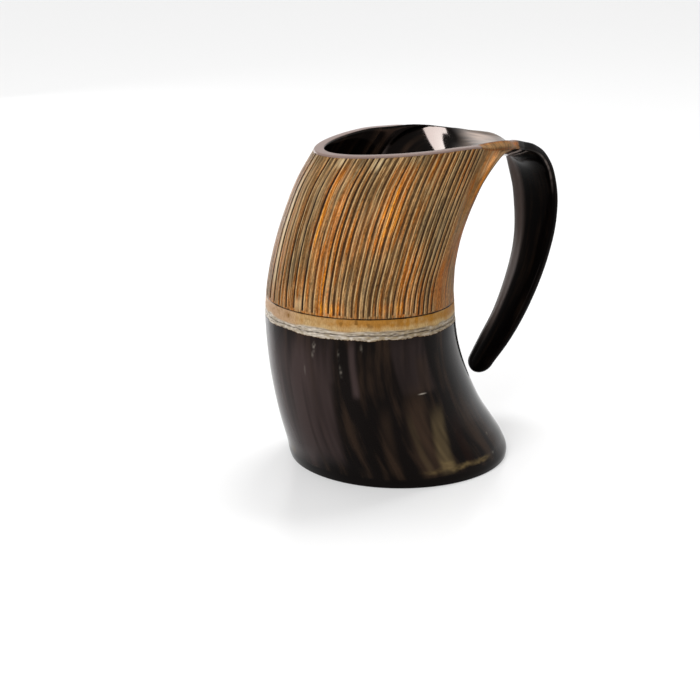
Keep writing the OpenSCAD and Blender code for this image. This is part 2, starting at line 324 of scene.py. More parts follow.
# The carving, in millimetres and degrees round the foot
carving = {
    "count": 63, "pitch": 3.47, "first": 60.5, "columns": 10,
    "depth": 0.5, "width": 0.36,       # width of a cut as a share of the pitch
    "wider": ([150, 200, 225], [1.5, 1.15, 1]),            # angles, and how much wider the cuts are there
    "start": 81.9, "end": 149.5,       # where the cuts begin over the band and run out under the rim
    "startOver": 0.7, "endOver": 0.8,
    # what chance gives each cut: depth, width, start, end and a place in the noise
    "depths": (0.6, 1.15), "widths": (0.75, 1.25), "starts": (-0.5, 0.9), "ends": (-0.5, 0.4), "shifts": (0, 400),
    "pressLevel": 0.85, "pressShift": 1.7, "shadeReach": 1.2, "shadeSoft": 0.55, "shadePress": 1.3,
    "burrOut": 0.10, "burrHalf": 0.13, "burrLeast": 0.2, "burrHeight": 0.05, "burrShift": 2.3,
    # the second, finer line on some ridges: its place, how many have one, and how it looks
    "seconds": (0.24, 0.40), "secondChance": 0.6, "noSecond": 9, "secondHalf": 0.085, "secondDepth": 0.1,
    "secondShade": 0.62, "secondBurrAndHighlight": 0.7, "secondBurrOut": 0.12, "secondBurrHalf": 0.08,
    "secondShift": 1.3, "secondMore": 0.55, "secondBurrMore": 0.4,
    "skipped": 29, "skippedDepth": 0.12,                   # one cut is hardly there, behind a wide pale ridge
    "broadUntil": 203.0, "faintShare": 0.3, "seamCut": 2,
    "bandTop": 81.4, "bandBottom": 73.9, "bandTilt": 1.6, "tiltFrom": 45, "tiltOver": 20, "tiltEnd": 14,
    "lineDepth": 0.42, "lineHalfWidth": 0.4, "lineLevel": 0.85, "lineLeast": 0.3, "lowerHalfWidth": 0.5,
    # a second, fainter line follows the lower one
    "secondLineUp": 1.7, "secondLineHalf": 0.36, "secondLineDepth": 0.2, "secondLineFollows": 0.6,
    "secondLineLeast": 0.35, "secondLineMore": 0.6,
    "scrapedTop": 76.4, "scrapedOver": 1.3, "raggedBottom": 71.9, "raggedOver": 0.3, "raggedDepth": 0.2,
    "chipsLevel": 0.5, "lowUneven": 0.1, "lowUnevenOver": 10, "lowSlant": 0.1, "footFade": 6,
    "bareForward": 0.6, "bareBack": 1.3, "bareOver": 4,    # the scraper's marks in the bare horn slant both ways
    "arcRadius": 43.0,                 # of the horn at the band
    "twist": 11.4, "twistSway": 3.2, "farRunIn": 15, "nearRunIn": 37,
    "seed": 7,
}
# height, how far the fibres have turned by then on the handle's side, and how far they hang back
fibreTurn = np.array([
    [0, 0, 0], [82, 0, 0], [96.4, 0.30, 0.44], [103.3, 0.50, 0.76], [111, 0.68, 1.0], [119.8, 0.83, 1.06],
    [128.5, 0.935, 0.93], [135.5, 0.985, 0.76], [143.3, 0.985, 0.38], [149.5, 0.95, -0.05],
])
# angle from the handle's plane, and how many degrees the fibres hang back there
fibreSway = np.array([[45, 0], [100, 1], [140, 3.5], [178, 5.2], [205, 4.8], [227, 3.5], [250, 1.5], [270, 0],
                      [405, 0]])
# The mesh: columns in the bare horn and in the strip, rows along the strip and at its tip, heights of the rows
lattice = {"farColumns": 10, "nearColumns": 49, "stripColumns": 91, "stripRows": 151, "tipRows": 20}
turnHeight = horn["turnShare"] * horn["bodyHeight"]
topHeight = horn["bodyHeight"] - horn["rimRound"]
farRoot, nearRoot = horn["rootAngle"], 360 - horn["rootAngle"]      # where the strip leaves the rim
# rows lie closest at the foot's rounding, at the band and its torn edge, and under the rim
outerHeights = np.concatenate([
    [0, 0.25, 0.6, 1.1, 1.8, 2.6, 3.4, 4.2], np.arange(4.8, 12, 0.5), np.arange(12, 44, 1.0),
    np.arange(44, 46.4, 0.2), np.arange(47, 70, 1.0), np.arange(70, 84, 0.2), np.arange(84, 98.5, 0.8),
    np.linspace(turnHeight, topHeight - 3, 66), np.linspace(topHeight - 2.8, topHeight, 12),
])
innerHeights = np.concatenate([
    np.linspace(topHeight, turnHeight, 32), np.arange(97, 8, -2.5), [7.5, 6.2, 5, 2.5, 0],
])


def twistAt(base, z):
    # degrees that a fibre which starts at this angle has turned at this height
    held = np.minimum(z, fibreTurn[-1, 0])
    turned = curveAt(fibreTurn, held, 1) * (carving["twist"] - carving["twistSway"] * np.sin(np.radians(base)))
    back = curveAt(fibreTurn, held, 2) * curveAt(fibreSway, base, 1)
    carved = np.where(base < 180, ease((base - farRoot) / carving["farRunIn"]),
                      ease((nearRoot - base) / carving["nearRunIn"]))
    return (turned - back) * carved


print("horn: columns and rows")
pitch, count = carving["pitch"], carving["count"]
carvedStart = carving["first"] - pitch / 2
carvedEnd = carvedStart + pitch * count
rimColumns = np.concatenate([
    np.linspace(farRoot, carvedStart, lattice["farColumns"] + 1)[:-1],
    carvedStart + pitch / carving["columns"] * np.arange(count * carving["columns"]),
    np.linspace(carvedEnd, nearRoot, lattice["nearColumns"]),
])
stripColumns = np.linspace(nearRoot, farRoot + 360, lattice["stripColumns"])[1:-1]
baseAngles = np.concatenate([rimColumns, stripColumns])
columnCount, rimCount = len(baseAngles), len(rimColumns)


def wallPoints(heights, inside):
    angle, z = baseAngles[None, :], heights[:, None]
    turned = angle + twistAt(angle, z)
    signed = np.where(turned > 180, turned - 360, turned)
    # the band and its lines lie in a plane that tilts a little toward the handle
    tilted = ease((z - carving["tiltFrom"]) / carving["tiltOver"]) * ease((turnHeight - z) / carving["tiltEnd"])
    tilt = -carving["bandTilt"] * np.cos(np.radians(signed)) * tilted
    h = np.minimum(z + (0 if inside else tilt), turnHeight) / horn["bodyHeight"]
    t = np.clip((z - turnHeight) / (topHeight - turnHeight), 0, 1)
    low = levelPoint(signed, h + 0 * signed, inside)
    high = upperPoint(signed, t + 0 * signed, inside)
    return np.where((z <= turnHeight)[..., None], low, high), signed


outerPoints, outerAngles = wallPoints(outerHeights, False)
innerPoints, innerAngles = wallPoints(innerHeights, True)

# The handle's rings run along its under face, one edge, its upper face and the other edge
handleRows = np.concatenate([
    np.linspace(0, 1, lattice["stripRows"])[1:-1] * horn["tipShare"],
    mix(horn["tipShare"], 1, np.sin(np.linspace(0, math.pi / 2, lattice["tipRows"]))),
])
sides = np.concatenate([[-1.0], (stripColumns - 360) / horn["rootAngle"], [1.0]])


def stripInset(s, far):
    # where a flat face ends, as a share of the strip's half width
    reach = edge["farIn"] if far else edge["nearIn"]
    depth = mix(edge["rimFlat"], reach, ease((s - edge["insetFrom"]) / edge["insetOver"]))
    return 1 - np.minimum(depth / stripHalfWidth(s), edge["insetMost"])


def stripFace(inside):
    s, side = handleRows[:, None], sides[None, :]
    return stripPoint(s, side * np.where(side > 0, stripInset(s, True), stripInset(s, False)), inside)


underFace, upperFace = stripFace(False), stripFace(True)


def edgeCurve(outer, inner, way, rise, outerWidth, innerWidth):
    # rows across a cut edge: a rounded outer corner, a flat, a rounded inner corner
    rowCount = edge["rows"]
    corner = (rowCount - 1) // 2
    thick = np.linalg.norm(inner - outer, axis=-1)
    rows = []
    for i in range(1, rowCount + 1):
        a = min(i, rowCount + 1 - i, corner) / corner * math.pi / 2
        width = outerWidth if i <= rowCount // 2 else innerWidth
        inFrom = width / thick * (1 - np.cos(a))
        share = inFrom if i <= rowCount // 2 else 1 - inFrom
        if i == corner + 1:
            share = (outerWidth / thick + 1 - innerWidth / thick) / 2
        rows.append(mix(outer, inner, share[:, None]) + way * (rise * np.sin(a))[:, None])
    return np.stack(rows)


def edgeRows():
    # one unbroken edge: along the strip's far side to the rim, round the mouth, and out along its near side
    outer = np.concatenate([underFace[::-1, -1], outerPoints[-1, :rimCount], underFace[:, 0]])
    inner = np.concatenate([upperFace[::-1, -1], innerPoints[0, :rimCount], upperFace[:, 0]])
    run = np.concatenate([handleRows[::-1], 0 * rimColumns, handleRows])
    isFar = np.arange(len(run)) < len(handleRows) + rimCount // 2
    angle = np.concatenate([0 * handleRows + horn["rootAngle"], outerAngles[-1, :rimCount],
                            0 * handleRows - horn["rootAngle"]])
    along = unitVectors(np.gradient((outer + inner) / 2, axis=0))
    way = unitVectors(np.cross(unitVectors(inner - outer), along))
    if way[len(run) // 2, 2] < 0:
        way = -way
    # near the tip the strip narrows fast, and its edges still face straight out to the side
    toFar = underFace[:, -1] - underFace[:, 0]
    outward = unitVectors(np.concatenate([toFar[::-1], way[len(handleRows):-len(handleRows)], -toFar]))
    way = unitVectors(mix(way, outward, ease((run - edge["outFrom"]) / edge["outOver"])[:, None]))
    thick = np.linalg.norm(inner - outer, axis=-1)
    onStrip = ease(run / edge["insetOver"])
    inset = np.where(isFar, 1 - stripInset(run, True), 1 - stripInset(run, False))
    slim = mix(1, edge["slimTo"], ease((run - edge["slimFrom"]) / edge["slimOver"]))
    extra = np.where(isFar, edge["farExtra"] * slim, edge["nearExtra"])
    rise = np.where(run > 0, inset * stripHalfWidth(run) + extra * onStrip * tipRound(run), edge["rimFlat"])
    chamfer = chamferAt(angle) * (1 - ease((run - edge["chamferEnd"]) / edge["chamferFade"]))
    rise = rise + edge["chamferCrown"] * chamfer
    under, upper = (np.where(isFar, edge["far" + face], edge["near" + face]) * tipRound(run)
                    for face in ("Under", "Upper"))
    outerWidth = mix(mix(edge["rimCorner"], edge["chamferWidth"], chamfer), under, onStrip)
    outerWidth = np.minimum(outerWidth, thick * edge["chamferMost"])
    innerWidth = mix(edge["rimCorner"] * mix(1, edge["chamferInner"], chamfer), upper, onStrip)
    innerWidth = np.minimum(innerWidth, thick - outerWidth)
    return edgeCurve(outer, inner, way, rise, outerWidth, innerWidth), chamfer


edgePoints, edgeChamfer = edgeRows()
stripRowCount = len(handleRows)
farEdge = edgePoints[:, :stripRowCount][:, ::-1]
rimEdge = edgePoints[:, stripRowCount:stripRowCount + rimCount]
nearEdge = edgePoints[:, stripRowCount + rimCount:]

print("horn: one mesh for the body and the handle")
vertexParts, quadParts, tagParts = [], [], []
# what is known of each point: its part of the horn, and its place there
parts = {"wall": 0, "inside": 1, "rim": 2, "under": 3, "upper": 4, "edge": 5}
tagNames = ("part", "angle", "base", "height", "along", "side", "step", "chamfer")


def addPoints(points, part, **tags):
    # numbers for a block of points, and what is known of each one
    shape = points.shape[:-1]
    first = sum(len(p) for p in vertexParts)
    vertexParts.append(points.reshape(-1, 3))
    tags["part"] = parts[part]
    tagParts.append({name: np.broadcast_to(np.asarray(tags.get(name, 0), float), shape).reshape(-1)
                     for name in tagNames})
    return first + np.arange(int(np.prod(shape))).reshape(shape)


def addQuads(grid, closed):
    a, b = grid[:-1], grid[1:]
    if closed:
        a2, b2 = np.roll(a, -1, 1), np.roll(b, -1, 1)
    else:
        a, b, a2, b2 = a[:, :-1], b[:, :-1], a[:, 1:], b[:, 1:]
    quadParts.append(np.stack([a, a2, b2, b], -1).reshape(-1, 4))


edgeStep = np.linspace(0, 1, edge["rows"])[:, None]
rowPlace, bases = handleRows[:, None], baseAngles[None, :]
outerGrid = addPoints(outerPoints, "wall", angle=outerAngles, base=bases, height=outerHeights[:, None])
innerGrid = addPoints(innerPoints, "inside", angle=innerAngles, base=bases, height=innerHeights[:, None])
rimGrid = addPoints(rimEdge, "rim", angle=outerAngles[-1:, :rimCount], base=rimColumns[None, :], height=topHeight,
                    step=edgeStep, chamfer=edgeChamfer[None, stripRowCount:stripRowCount + rimCount])
underGrid = addPoints(underFace, "under", along=rowPlace, side=sides[None, :])
upperGrid = addPoints(upperFace, "upper", along=rowPlace, side=sides[None, :])
nearGrid = addPoints(nearEdge, "edge", along=handleRows[None, :], side=-1.0, step=edgeStep,
                     chamfer=edgeChamfer[None, stripRowCount + rimCount:])
farGrid = addPoints(farEdge, "edge", along=handleRows[None, :], side=1.0, step=edgeStep,
                    chamfer=edgeChamfer[None, :stripRowCount][:, ::-1])

addQuads(outerGrid, True)
addQuads(innerGrid, True)
addQuads(np.stack([innerGrid[-1], outerGrid[0]]), True)
addQuads(np.concatenate([outerGrid[-1:, :rimCount], rimGrid, innerGrid[:1, :rimCount]]), False)
nearColumn, farColumn = rimCount - 1, 0
stripIndex = np.concatenate([[nearColumn], np.arange(rimCount, columnCount), [farColumn]])
firstRing = np.concatenate([outerGrid[-1, stripIndex], rimGrid[:, farColumn],
                            innerGrid[0, stripIndex][::-1], rimGrid[::-1, nearColumn]])
rings = np.concatenate([underGrid, farGrid.T, upperGrid[:, ::-1], nearGrid[::-1].T], axis=1)
addQuads(np.concatenate([firstRing[None], rings]), True)
lastRing, ringBefore = (np.concatenate(vertexParts)[rings[i]].mean(0) for i in (-1, -2))
tipMiddle = addPoints((lastRing + (lastRing - ringBefore) * edge["tipOut"])[None], "under", along=1.0)[0]
points, quads = np.concatenate(vertexParts), np.concatenate(quadParts)
tipFaces = np.stack([rings[-1], np.roll(rings[-1], -1), np.full(rings.shape[1], tipMiddle)], -1)
tags = {name: np.concatenate([known[name] for known in tagParts]) for name in tagNames}

normals = np.zeros_like(points)
faceNormals = np.cross(points[quads[:, 2]] - points[quads[:, 0]], points[quads[:, 3]] - points[quads[:, 1]])
for corner in range(4):
    np.add.at(normals, quads[:, corner], faceNormals)
normals = unitVectors(normals)
probe = outerGrid[len(outerHeights) // 3, rimCount // 2]
if np.dot(normals[probe], points[probe] * [1, 1, 0]) < 0:
    normals, quads = -normals, quads[:, ::-1]
else:
    tipFaces = tipFaces[:, ::-1]

# Seeded unevenness along a line: spacing in millimetres, seed and strength of each layer
lineNoises = {
    "cutWobble": [(26, 21, 0.05), (6, 24, 0.02)], "cutPress": [(18, 22, 0.25)], "cutPressFine": [(3, 23, 0.12)],
    "burrPress": [(9, 25, 0.45)], "burrPressFine": [(2.2, 26, 0.35)],
    "secondPress": [(14, 27, 1)], "secondPressFine": [(2.2, 28, 0.5)],
    "lineWave": [(6, 11, 0.16), (1.6, 12, 0.08)], "linePress": [(4, 13, 0.3)],
    "lowerWave": [(7, 14, 0.3), (1.3, 15, 0.14)], "secondLine": [(9, 16, 0.4)], "secondLinePress": [(14, 17, 1)],
    "ragged": [(5.5, 32, 0.4), (0.55, 31, 0.22)], "scrapedTop": [(5, 33, 0.8)],
    "bareForward": [(9, 41, 0.12)], "bareBack": [(7, 42, 0.12)], "lowZone": [(11, 43, 1)],
    "ridgeTone": [(9, 53, 0.07)], "ridgeLight": [(6, 56, 0.10)],
    "olive": [(13, 75, 1.2)], "brown": [(13, 75, 1.2)], "rust": [(13, 74, 1.2)], "mauveAndSheen": [(13, 75, 1.2)],
    "gold": [(5, 72, 0.7), (1.3, 82, 0.3)], "footEdge": [(8, 73, 0.3)],
    "creases": [(1.5, 77, 1)], "paintedEdgeGlint": [(1.4, 78, 0.45)],
}
# and over a field: width and height of a cell, seed and strength of each layer
fieldNoises = {
    "chips": [(1.8, 0.5, 34, 0.5)],
    "tone": [(11, 30, 51, 0.18), (4.5, 12, 52, 0.14), (0.62, 9, 59, 0.24)],
    "light": [(8, 17, 54, 0.15), (0.75, 5, 55, 0.20)], "pale": [(1.4, 14, 57, 1)],
    "cutLight": [(5, 14, 60, 0.35)], "scratch": [(0.7, 26, 58, 1)],
    "bandGold": [(3.0, 1.6, 61, 0.30), (1.5, 6, 65, 0.35), (9, 3, 62, 0.2)],
    "spots": [(1.7, 1.3, 63, 1)], "blot": [(0.9, 2.2, 64, 0.5)],
    "streaks": [(1.6, 22, 71, 0.3)], "nicks": [(0.9, 1.1, 74, 0.9)], "gold": [(1.6, 0.8, 83, 0.5)],
    "amberEnd": [(1, 1, 75, 0.010)], "creases": [(3, 3, 76, 1.2)],
    "paleReflection": [(5, 16, 79, 0.3), (1.6, 9, 84, 0.3)],
    "edgeTone": [(3, 1.5, 80, 0.25)], "edgeLight": [(2, 1, 81, 0.2)],
    "scribed": [(1.6, 3, 66, 0.38)], "worn": [(1.3, 0.7, 67, 0.45)],
}

print("horn: cuts, band and scraped edge")
z = np.broadcast_to(outerHeights[:, None], outerGrid.shape)
base = np.broadcast_to(bases, outerGrid.shape)
seam = carving["first"] + pitch * carving["seamCut"]       # the noise starts and ends here, at the bottom of a cut
arc = np.radians(np.where(base < seam, base + 360, base)) * carving["arcRadius"]
chance = np.random.default_rng(carving["seed"])

# each cut has its own depth, width, ends and way of wandering
cutPlace = (base - carvedStart) / pitch
cutNumber = np.clip(np.floor(cutPlace).astype(int), 0, count - 1)
inField = (cutPlace >= 0) & (cutPlace < count)
cutDepth, cutWidth, startMore, endMore, cutShift = (
    chance.uniform(*carving[name], count) for name in ("depths", "widths", "starts", "ends", "shifts"))
cutDepth[carving["skipped"]] = carving["skippedDepth"]
# toward the back every second cut is faint, which leaves broad ridges
broad = carving["first"] + pitch * np.arange(count) < carving["broadUntil"]
faint = broad & (np.arange(count) % 2 == carving["skipped"] % 2)
cutDepth = np.where(faint, cutDepth * carving["faintShare"], cutDepth)
shift, deep = cutShift[cutNumber], cutDepth[cutNumber]
fraction = cutPlace - np.floor(cutPlace) - 0.5 + lineNoise("cutWobble", z + shift)
press = carving["pressLevel"] + lineNoise("cutPress", z + shift * carving["pressShift"])
press = press + lineNoise("cutPressFine", z + shift)
halfCut = carving["width"] / 2 * cutWidth[cutNumber] * np.interp(base, *carving["wider"])
ends = (ease((z - carving["start"] - startMore[cutNumber]) / carving["startOver"])
        * ease((carving["end"] + endMore[cutNumber] - z) / carving["endOver"]) * inField)
cut = np.clip(1 - np.abs(fraction) / halfCut, 0, 1) * ends * deep * press
# painted shade: the cuts are really sunk, and their dark colour stands for the shade in them
shade = (ease((carving["shadeReach"] - np.abs(fraction) / halfCut) / carving["shadeSoft"]) * ends
         * np.minimum(deep * press * carving["shadePress"], 1))

# the graver leaves a thin raised burr on one side of each cut; its pale colour is a painted highlight on that flank
# of the ridge
burrPress = 1.0 + lineNoise("burrPress", z + shift * carving["burrShift"]) + lineNoise("burrPressFine", z + shift)
burrAndHighlight = (bump(fraction - halfCut, carving["burrOut"], carving["burrHalf"]) * ends * np.clip(burrPress, 0, 1)
        * np.minimum(deep + carving["burrLeast"], 1))
# on some ridges it slipped or was set twice, which leaves a second, finer line, darkened with painted shade and
# edged with a painted highlight
secondCut = chance.uniform(*carving["seconds"], count)
secondCut = secondCut * np.where(chance.uniform(0, 1, count) < carving["secondChance"], 1, carving["noSecond"])
fromSecond = fraction - secondCut[cutNumber]
secondPress = lineNoise("secondPress", z + shift * carving["secondShift"]) + lineNoise("secondPressFine", z + shift)
second = bump(fromSecond, 0, carving["secondHalf"]) * ends * ease(secondPress + carving["secondMore"])
secondBurrAndHighlight = (bump(fromSecond, carving["secondBurrOut"], carving["secondBurrHalf"]) * ends
              * ease(secondPress + carving["secondBurrMore"]))
shade = np.maximum(shade, carving["secondShade"] * second)
burrAndHighlight = np.maximum(burrAndHighlight, carving["secondBurrAndHighlight"] * secondBurrAndHighlight)

lineWave, lowerWave = lineNoise("lineWave", arc), lineNoise("lowerWave", arc)
# painted shade: the scribed lines are really sunk, and their dark colour stands for the shade in them
upperLine = bump(z + lineWave, carving["bandTop"], carving["lineHalfWidth"])
upperLine = upperLine * np.clip(carving["lineLevel"] + lineNoise("linePress", arc), carving["lineLeast"], 1)
lowerLine = bump(z + lowerWave, carving["bandBottom"], carving["lowerHalfWidth"])
secondHeight = carving["bandBottom"] + carving["secondLineUp"]
secondWave = lowerWave * carving["secondLineFollows"] + lineNoise("secondLine", arc)
secondLinePress = ease(lineNoise("secondLinePress", arc) + carving["secondLineMore"])
secondLine = bump(z + secondWave, secondHeight, carving["secondLineHalf"])
secondLine = secondLine * mix(carving["secondLineLeast"], 1, secondLinePress)
aboveRagged = ease((z - carving["raggedBottom"] - lineNoise("ragged", arc)) / carving["raggedOver"])
scrapedEnd = carving["scrapedTop"] + lineNoise("scrapedTop", arc)
scraped = ease((scrapedEnd - z) / carving["scrapedOver"]) * aboveRagged
chips = scraped * (carving["chipsLevel"] + fieldNoise("chips", arc, z))
unevenBare = (lineNoise("bareForward", arc + z * carving["bareForward"])
              + lineNoise("bareBack", z * carving["bareBack"] - arc))
unevenBare = unevenBare * ~inField * ease((z - carving["bandTop"]) / carving["bareOver"])
unevenLow = ((1 + lineNoise("lowZone", arc + carving["lowSlant"] * z))
             * ease((carving["raggedBottom"] - z) / carving["lowUnevenOver"]))
sunk = (cut * carving["depth"] + second * carving["secondDepth"] - burrAndHighlight * carving["burrHeight"]
        + (upperLine + lowerLine) * carving["lineDepth"] + secondLine * carving["secondLineDepth"]
        + chips * carving["raggedDepth"] + unevenBare + unevenLow * carving["lowUneven"])
sunk = sunk * ease(z / carving["footFade"])
outerFlat = outerGrid.reshape(-1)
points[outerFlat] -= normals[outerFlat] * sunk.reshape(-1)[:, None]
# the full edges stay within the solids' reach
points = np.clip(points, np.array(cadLow) / millimetre, np.array(cadHigh) / millimetre)

# Where the horn's colour changes. Places are degrees round the foot and millimetres up, then half sizes.
# Field and bare zone beside the handle: place, half sizes, more orange, lighter, more cream
fieldPatches = [
    (194, 130, 3.4, 24, 0.55, 0.15, 0.0), (184, 126, 10, 24, -0.12, -0.30, 0.0),
    (161.5, 116, 2.2, 40, -0.05, 0.35, 0.75), (180, 102, 9, 17, -0.30, -0.30, 0.0),
    (185, 137, 7, 14, 0.0, 0.10, 0.15), (209, 110, 7, 30, 0.16, 0.0, 0.0), (232, 127, 9, 24, 0.60, 0.50, 0.0),
    (256, 100, 9, 18, 0.16, 0.20, 0.0), (236, 97, 8, 15, -0.04, -0.12, 0.0), (256, 131, 10, 16, -0.20, -0.08, 0.0),
    (211, 85.5, 12, 4.0, 0.42, 0.10, 0.0), (246, 86.0, 16, 3.5, 0.34, 0.06, 0.0),
    (190, 85.5, 6, 4.0, 0.02, 0.2, 0.35), (213.5, 147, 3.0, 4.0, -0.3, 0.3, 0.9),
    (190, 148, 4.0, 3.5, -0.1, 0.2, 0.6), (170, 125, 6, 30, -0.02, 0.12, 0.2),
    (293, 143, 10, 9, 0.20, 0.55, 0.25), (299, 131, 8, 13, 0.50, 0.15, 0.0), (311, 124, 9, 12, 0.15, -0.5, 0.0),
    (294, 116, 9, 8, -0.12, 0.15, 0.05), (302, 104, 9, 9, 0.30, 0.05, 0.0), (310, 96, 8, 12, 0.2, -0.3, 0.0),
    (296, 88, 9, 7, 0.05, 0.1, 0.05),
]
# Long scratches in the bare zone: place, half sizes
longScratches = [(290.5, 95, 0.7, 26), (284.5, 112, 0.6, 30)]
# Under the ring: (degrees, mm) at the top and at the bottom of a streak, its half width, softness and strength
lowStreaks = {
    "olive": [(-92.5, 41, -104, 6, 6.2, 0.7, 1.0), (-112, 40, -113, 7, 3.0, 0.9, 0.35),
              (20, 44, 12, 7, 6.0, 0.8, 0.7)],
    "brown": [(-104, 54, -112, 6, 9.5, 0.8, 1.0), (-124, 44, -131, 7, 5.0, 0.9, 0.55),
              (-71, 46, -73, 7, 5.0, 0.9, 0.7), (-60, 40, -62, 9, 4.0, 0.9, 0.6),
              (-84, 66, -84, 44, 3.0, 0.9, 0.4), (-96, 66, -97, 46, 6.0, 0.7, 0.5),
              (40, 60, 30, 7, 9.0, 0.9, 0.7), (120, 62, 128, 7, 9.0, 0.9, 0.7),
              (84, 50, 88, 10, 5.0, 0.9, 0.5)],
    "rust": [(-82, 36, -90, 7, 4.8, 0.8, 0.6), (2, 34, -2, 7, 5.0, 0.8, 0.6)],
    # partly mottled horn and partly painted sheen; the broad streak at -200 degrees is a painted reflection of the
    # bright room at the grazing left edge
    "mauveAndSheen": [(-138, 76, -139, 46, 3.2, 0.8, 1.0), (-200, 78, -205, 6, 38.0, 0.35, 1.0),
              (-106, 78, -101, 46, 13.0, 0.25, 0.5), (-150, 76, -152, 52, 3.0, 0.9, 0.3),
              (-163, 80, -168, 12, 15.0, 0.3, 0.8), (75, 76, 80, 20, 24.0, 0.6, 0.7)],
}
# Gold patches that show through just over the foot's dark edge: place, half sizes, strength
lowGold = [(-103.0, 9.2, 5.5, 3.6, 0.9), (-96.0, 7.2, 9.0, 1.8, 0.75), (-83, 7.2, 12.0, 1.7, 0.75),
           (-112, 7.6, 10.0, 1.8, 0.3), (20, 7.5, 7.0, 3.0, 0.6), (95, 7.0, 9.0, 2.6, 0.5),
           (160, 7.2, 6.0, 2.8, 0.5)]
# Pale nicks and specks: place, half sizes, strength
lowNicks = [(-99.6, 45.3, 3.6, 0.5, 1.3), (-160.6, 67.1, 1.8, 3.4, 0.5), (-162.0, 63.2, 1.4, 1.6, 0.3),
            (-144.9, 57.6, 1.2, 3.4, 0.4), (-145.7, 64.5, 1.0, 3.4, 0.22), (-132.3, 68.4, 1.2, 2.6, 0.3),
            (-168, 56, 1.0, 3.0, 0.2), (-64.4, 15.9, 1.2, 0.8, 0.3), (-70.2, 7.6, 1.4, 0.8, 0.3),
            (130, 52, 1.2, 3.0, 0.4)]
# The ground tones, where they fade, and what changes round the horn: angles, then shares
tones = {
    "tone": 0.44, "light": 0.81, "ridgeTone": 0.07, "ridgeLight": 0.08, "toneShift": 37.0, "lightShift": 61.0,
    "ridges": 512, "pale": 0.22, "paleFrom": 0.1, "backLight": 0.68, "backFrom": 145, "backOver": 65, "backUp": 3,
    "rimFrom": 143.5, "rimOver": 4.5, "rimTone": 0.16, "rimLight": 0.06, "patchEdge": 0.7,
    "cutLight": ([195, 225, 250, 275], [0.0, 1.0, 0.6, 0.1]), "cutLightLevel": 0.75,
    "bareOver": 2.0, "bareOut": 1.0, "bareTo": 330,        # how softly the bare zone begins, and its end, in degrees
    "scratchSlant": 0.05, "scratchFrom": 0.52, "scratchOver": 0.3, "scratchLow": 83, "scratchLowOver": 3,
    "bandTopOver": 0.4, "bandOver": 0.3,
    "beige": ([45, 120, 165, 184, 192, 215, 290, 315], [0.5, 0.7, 0.9, 0.7, 0.2, 0.12, 0.0, 0.2]),
    "gold": ([45, 120, 170, 200, 214, 225, 262, 300, 315], [0.5, 0.3, 0.12, 0.3, 0.75, 0.95, 1.0, 1.0, 0.7]),
    "goldFrom": 76.6, "goldOver": 2.4,
    "spotsFrom": 76.8, "spotsOver": 1.5, "spotsPlace": (226, 18), "spotsLeast": 0.35, "spotsCut": 0.45,
    "spotsSoft": 0.3,
    "blotPlace": (180, 6), "blotHeight": (79, 2.4), "blotLevel": 0.5,
    "streakIn": 0.35, "streakEnd": 1.08, "streakOut": 0.16, "streakLevel": 0.78, "nickLevel": 0.6, "goldLevel": 0.7,
    "scribedLevel": 0.62, "secondLine": 0.7, "wornLevel": 0.35, "wornMore": 0.5, "wornFrom": 205, "wornOver": 60,
    "footEdge": 4.9, "footOver": 0.7,
}

print("horn: where its colours lie")
ridge = np.floor(cutPlace + 0.5).astype(int)
ridgeTone, ridgeLight = chance.uniform(-1, 1, (2, tones["ridges"]))[:, ridge % tones["ridges"]]
tone = (tones["tone"] + tones["ridgeTone"] * ridgeTone * inField + fieldNoise("tone", arc, z)
        + lineNoise("ridgeTone", z + tones["toneShift"] * ridge) * inField)
light = (tones["light"] + tones["ridgeLight"] * ridgeLight * inField + fieldNoise("light", arc, z)
         + lineNoise("ridgeLight", z + tones["lightShift"] * ridge) * inField)
pale = tones["pale"] * ease(fieldNoise("pale", arc, z) - tones["paleFrom"])
backLight = mix(tones["backLight"], 1, ease((base - tones["backFrom"]) / tones["backOver"]))
light = light * mix(1, backLight, ease((z - carving["bandTop"]) / tones["backUp"]))
cutLight = np.interp(base, *tones["cutLight"]) * (tones["cutLightLevel"] + fieldNoise("cutLight", arc, z))
nearRim = ease((z - tones["rimFrom"]) / tones["rimOver"]) * inField
tone, light = tone - tones["rimTone"] * nearRim, light - tones["rimLight"] * nearRim
for centre, up, halfAngle, halfHeight, orange, lighter, cream in fieldPatches:
    share = (bump(base, centre, halfAngle) * bump(z, up, halfHeight)) ** tones["patchEdge"]
    tone, light, pale = tone + share * orange, light + share * lighter, pale + share * cream
# fine dark scratches along the fibre in the bare zone
nearBare = (1 - ease((carvedEnd + tones["bareOut"] - base) / tones["bareOver"])) * (base < tones["bareTo"])
bareShare = nearBare + ease((carvedStart - base) / tones["bareOver"])
scratch = fieldNoise("scratch", arc + tones["scratchSlant"] * z, z) - tones["scratchFrom"]
scratch = ease(scratch / tones["scratchOver"]) * ease((z - tones["scratchLow"]) / tones["scratchLowOver"])
for centre, up, halfAngle, halfHeight in longScratches:
    scratch = scratch + bump(base, centre, halfAngle) * bump(z, up, halfHeight)
scratch = scratch * bareShare

aboveBand = ease((z - carving["bandTop"]) / tones["bandTopOver"])
bandShare = ease((carving["bandTop"] - z + lineWave) / tones["bandOver"]) * aboveRagged
baseHere = np.where(base > nearRoot, base - 360, base)
bandGold = np.interp(baseHere, *tones["gold"]) * ease((z - tones["goldFrom"]) / tones["goldOver"])
spots = ease((fieldNoise("spots", arc, z) - tones["spotsCut"]) / tones["spotsSoft"])
spots = spots * ease((z - tones["spotsFrom"]) / tones["spotsOver"])
spots = spots * mix(tones["spotsLeast"], 1, bump(baseHere, *tones["spotsPlace"]))
blot = bump(baseHere, *tones["blotPlace"]) * bump(z, *tones["blotHeight"])
blot = blot * (tones["blotLevel"] + fieldNoise("blot", arc, z))

footEdge = ease((tones["footEdge"] + lineNoise("footEdge", arc) - z) / tones["footOver"])


def angleFrom(middle):
    return (outerAngles - middle + 180) % 360 - 180


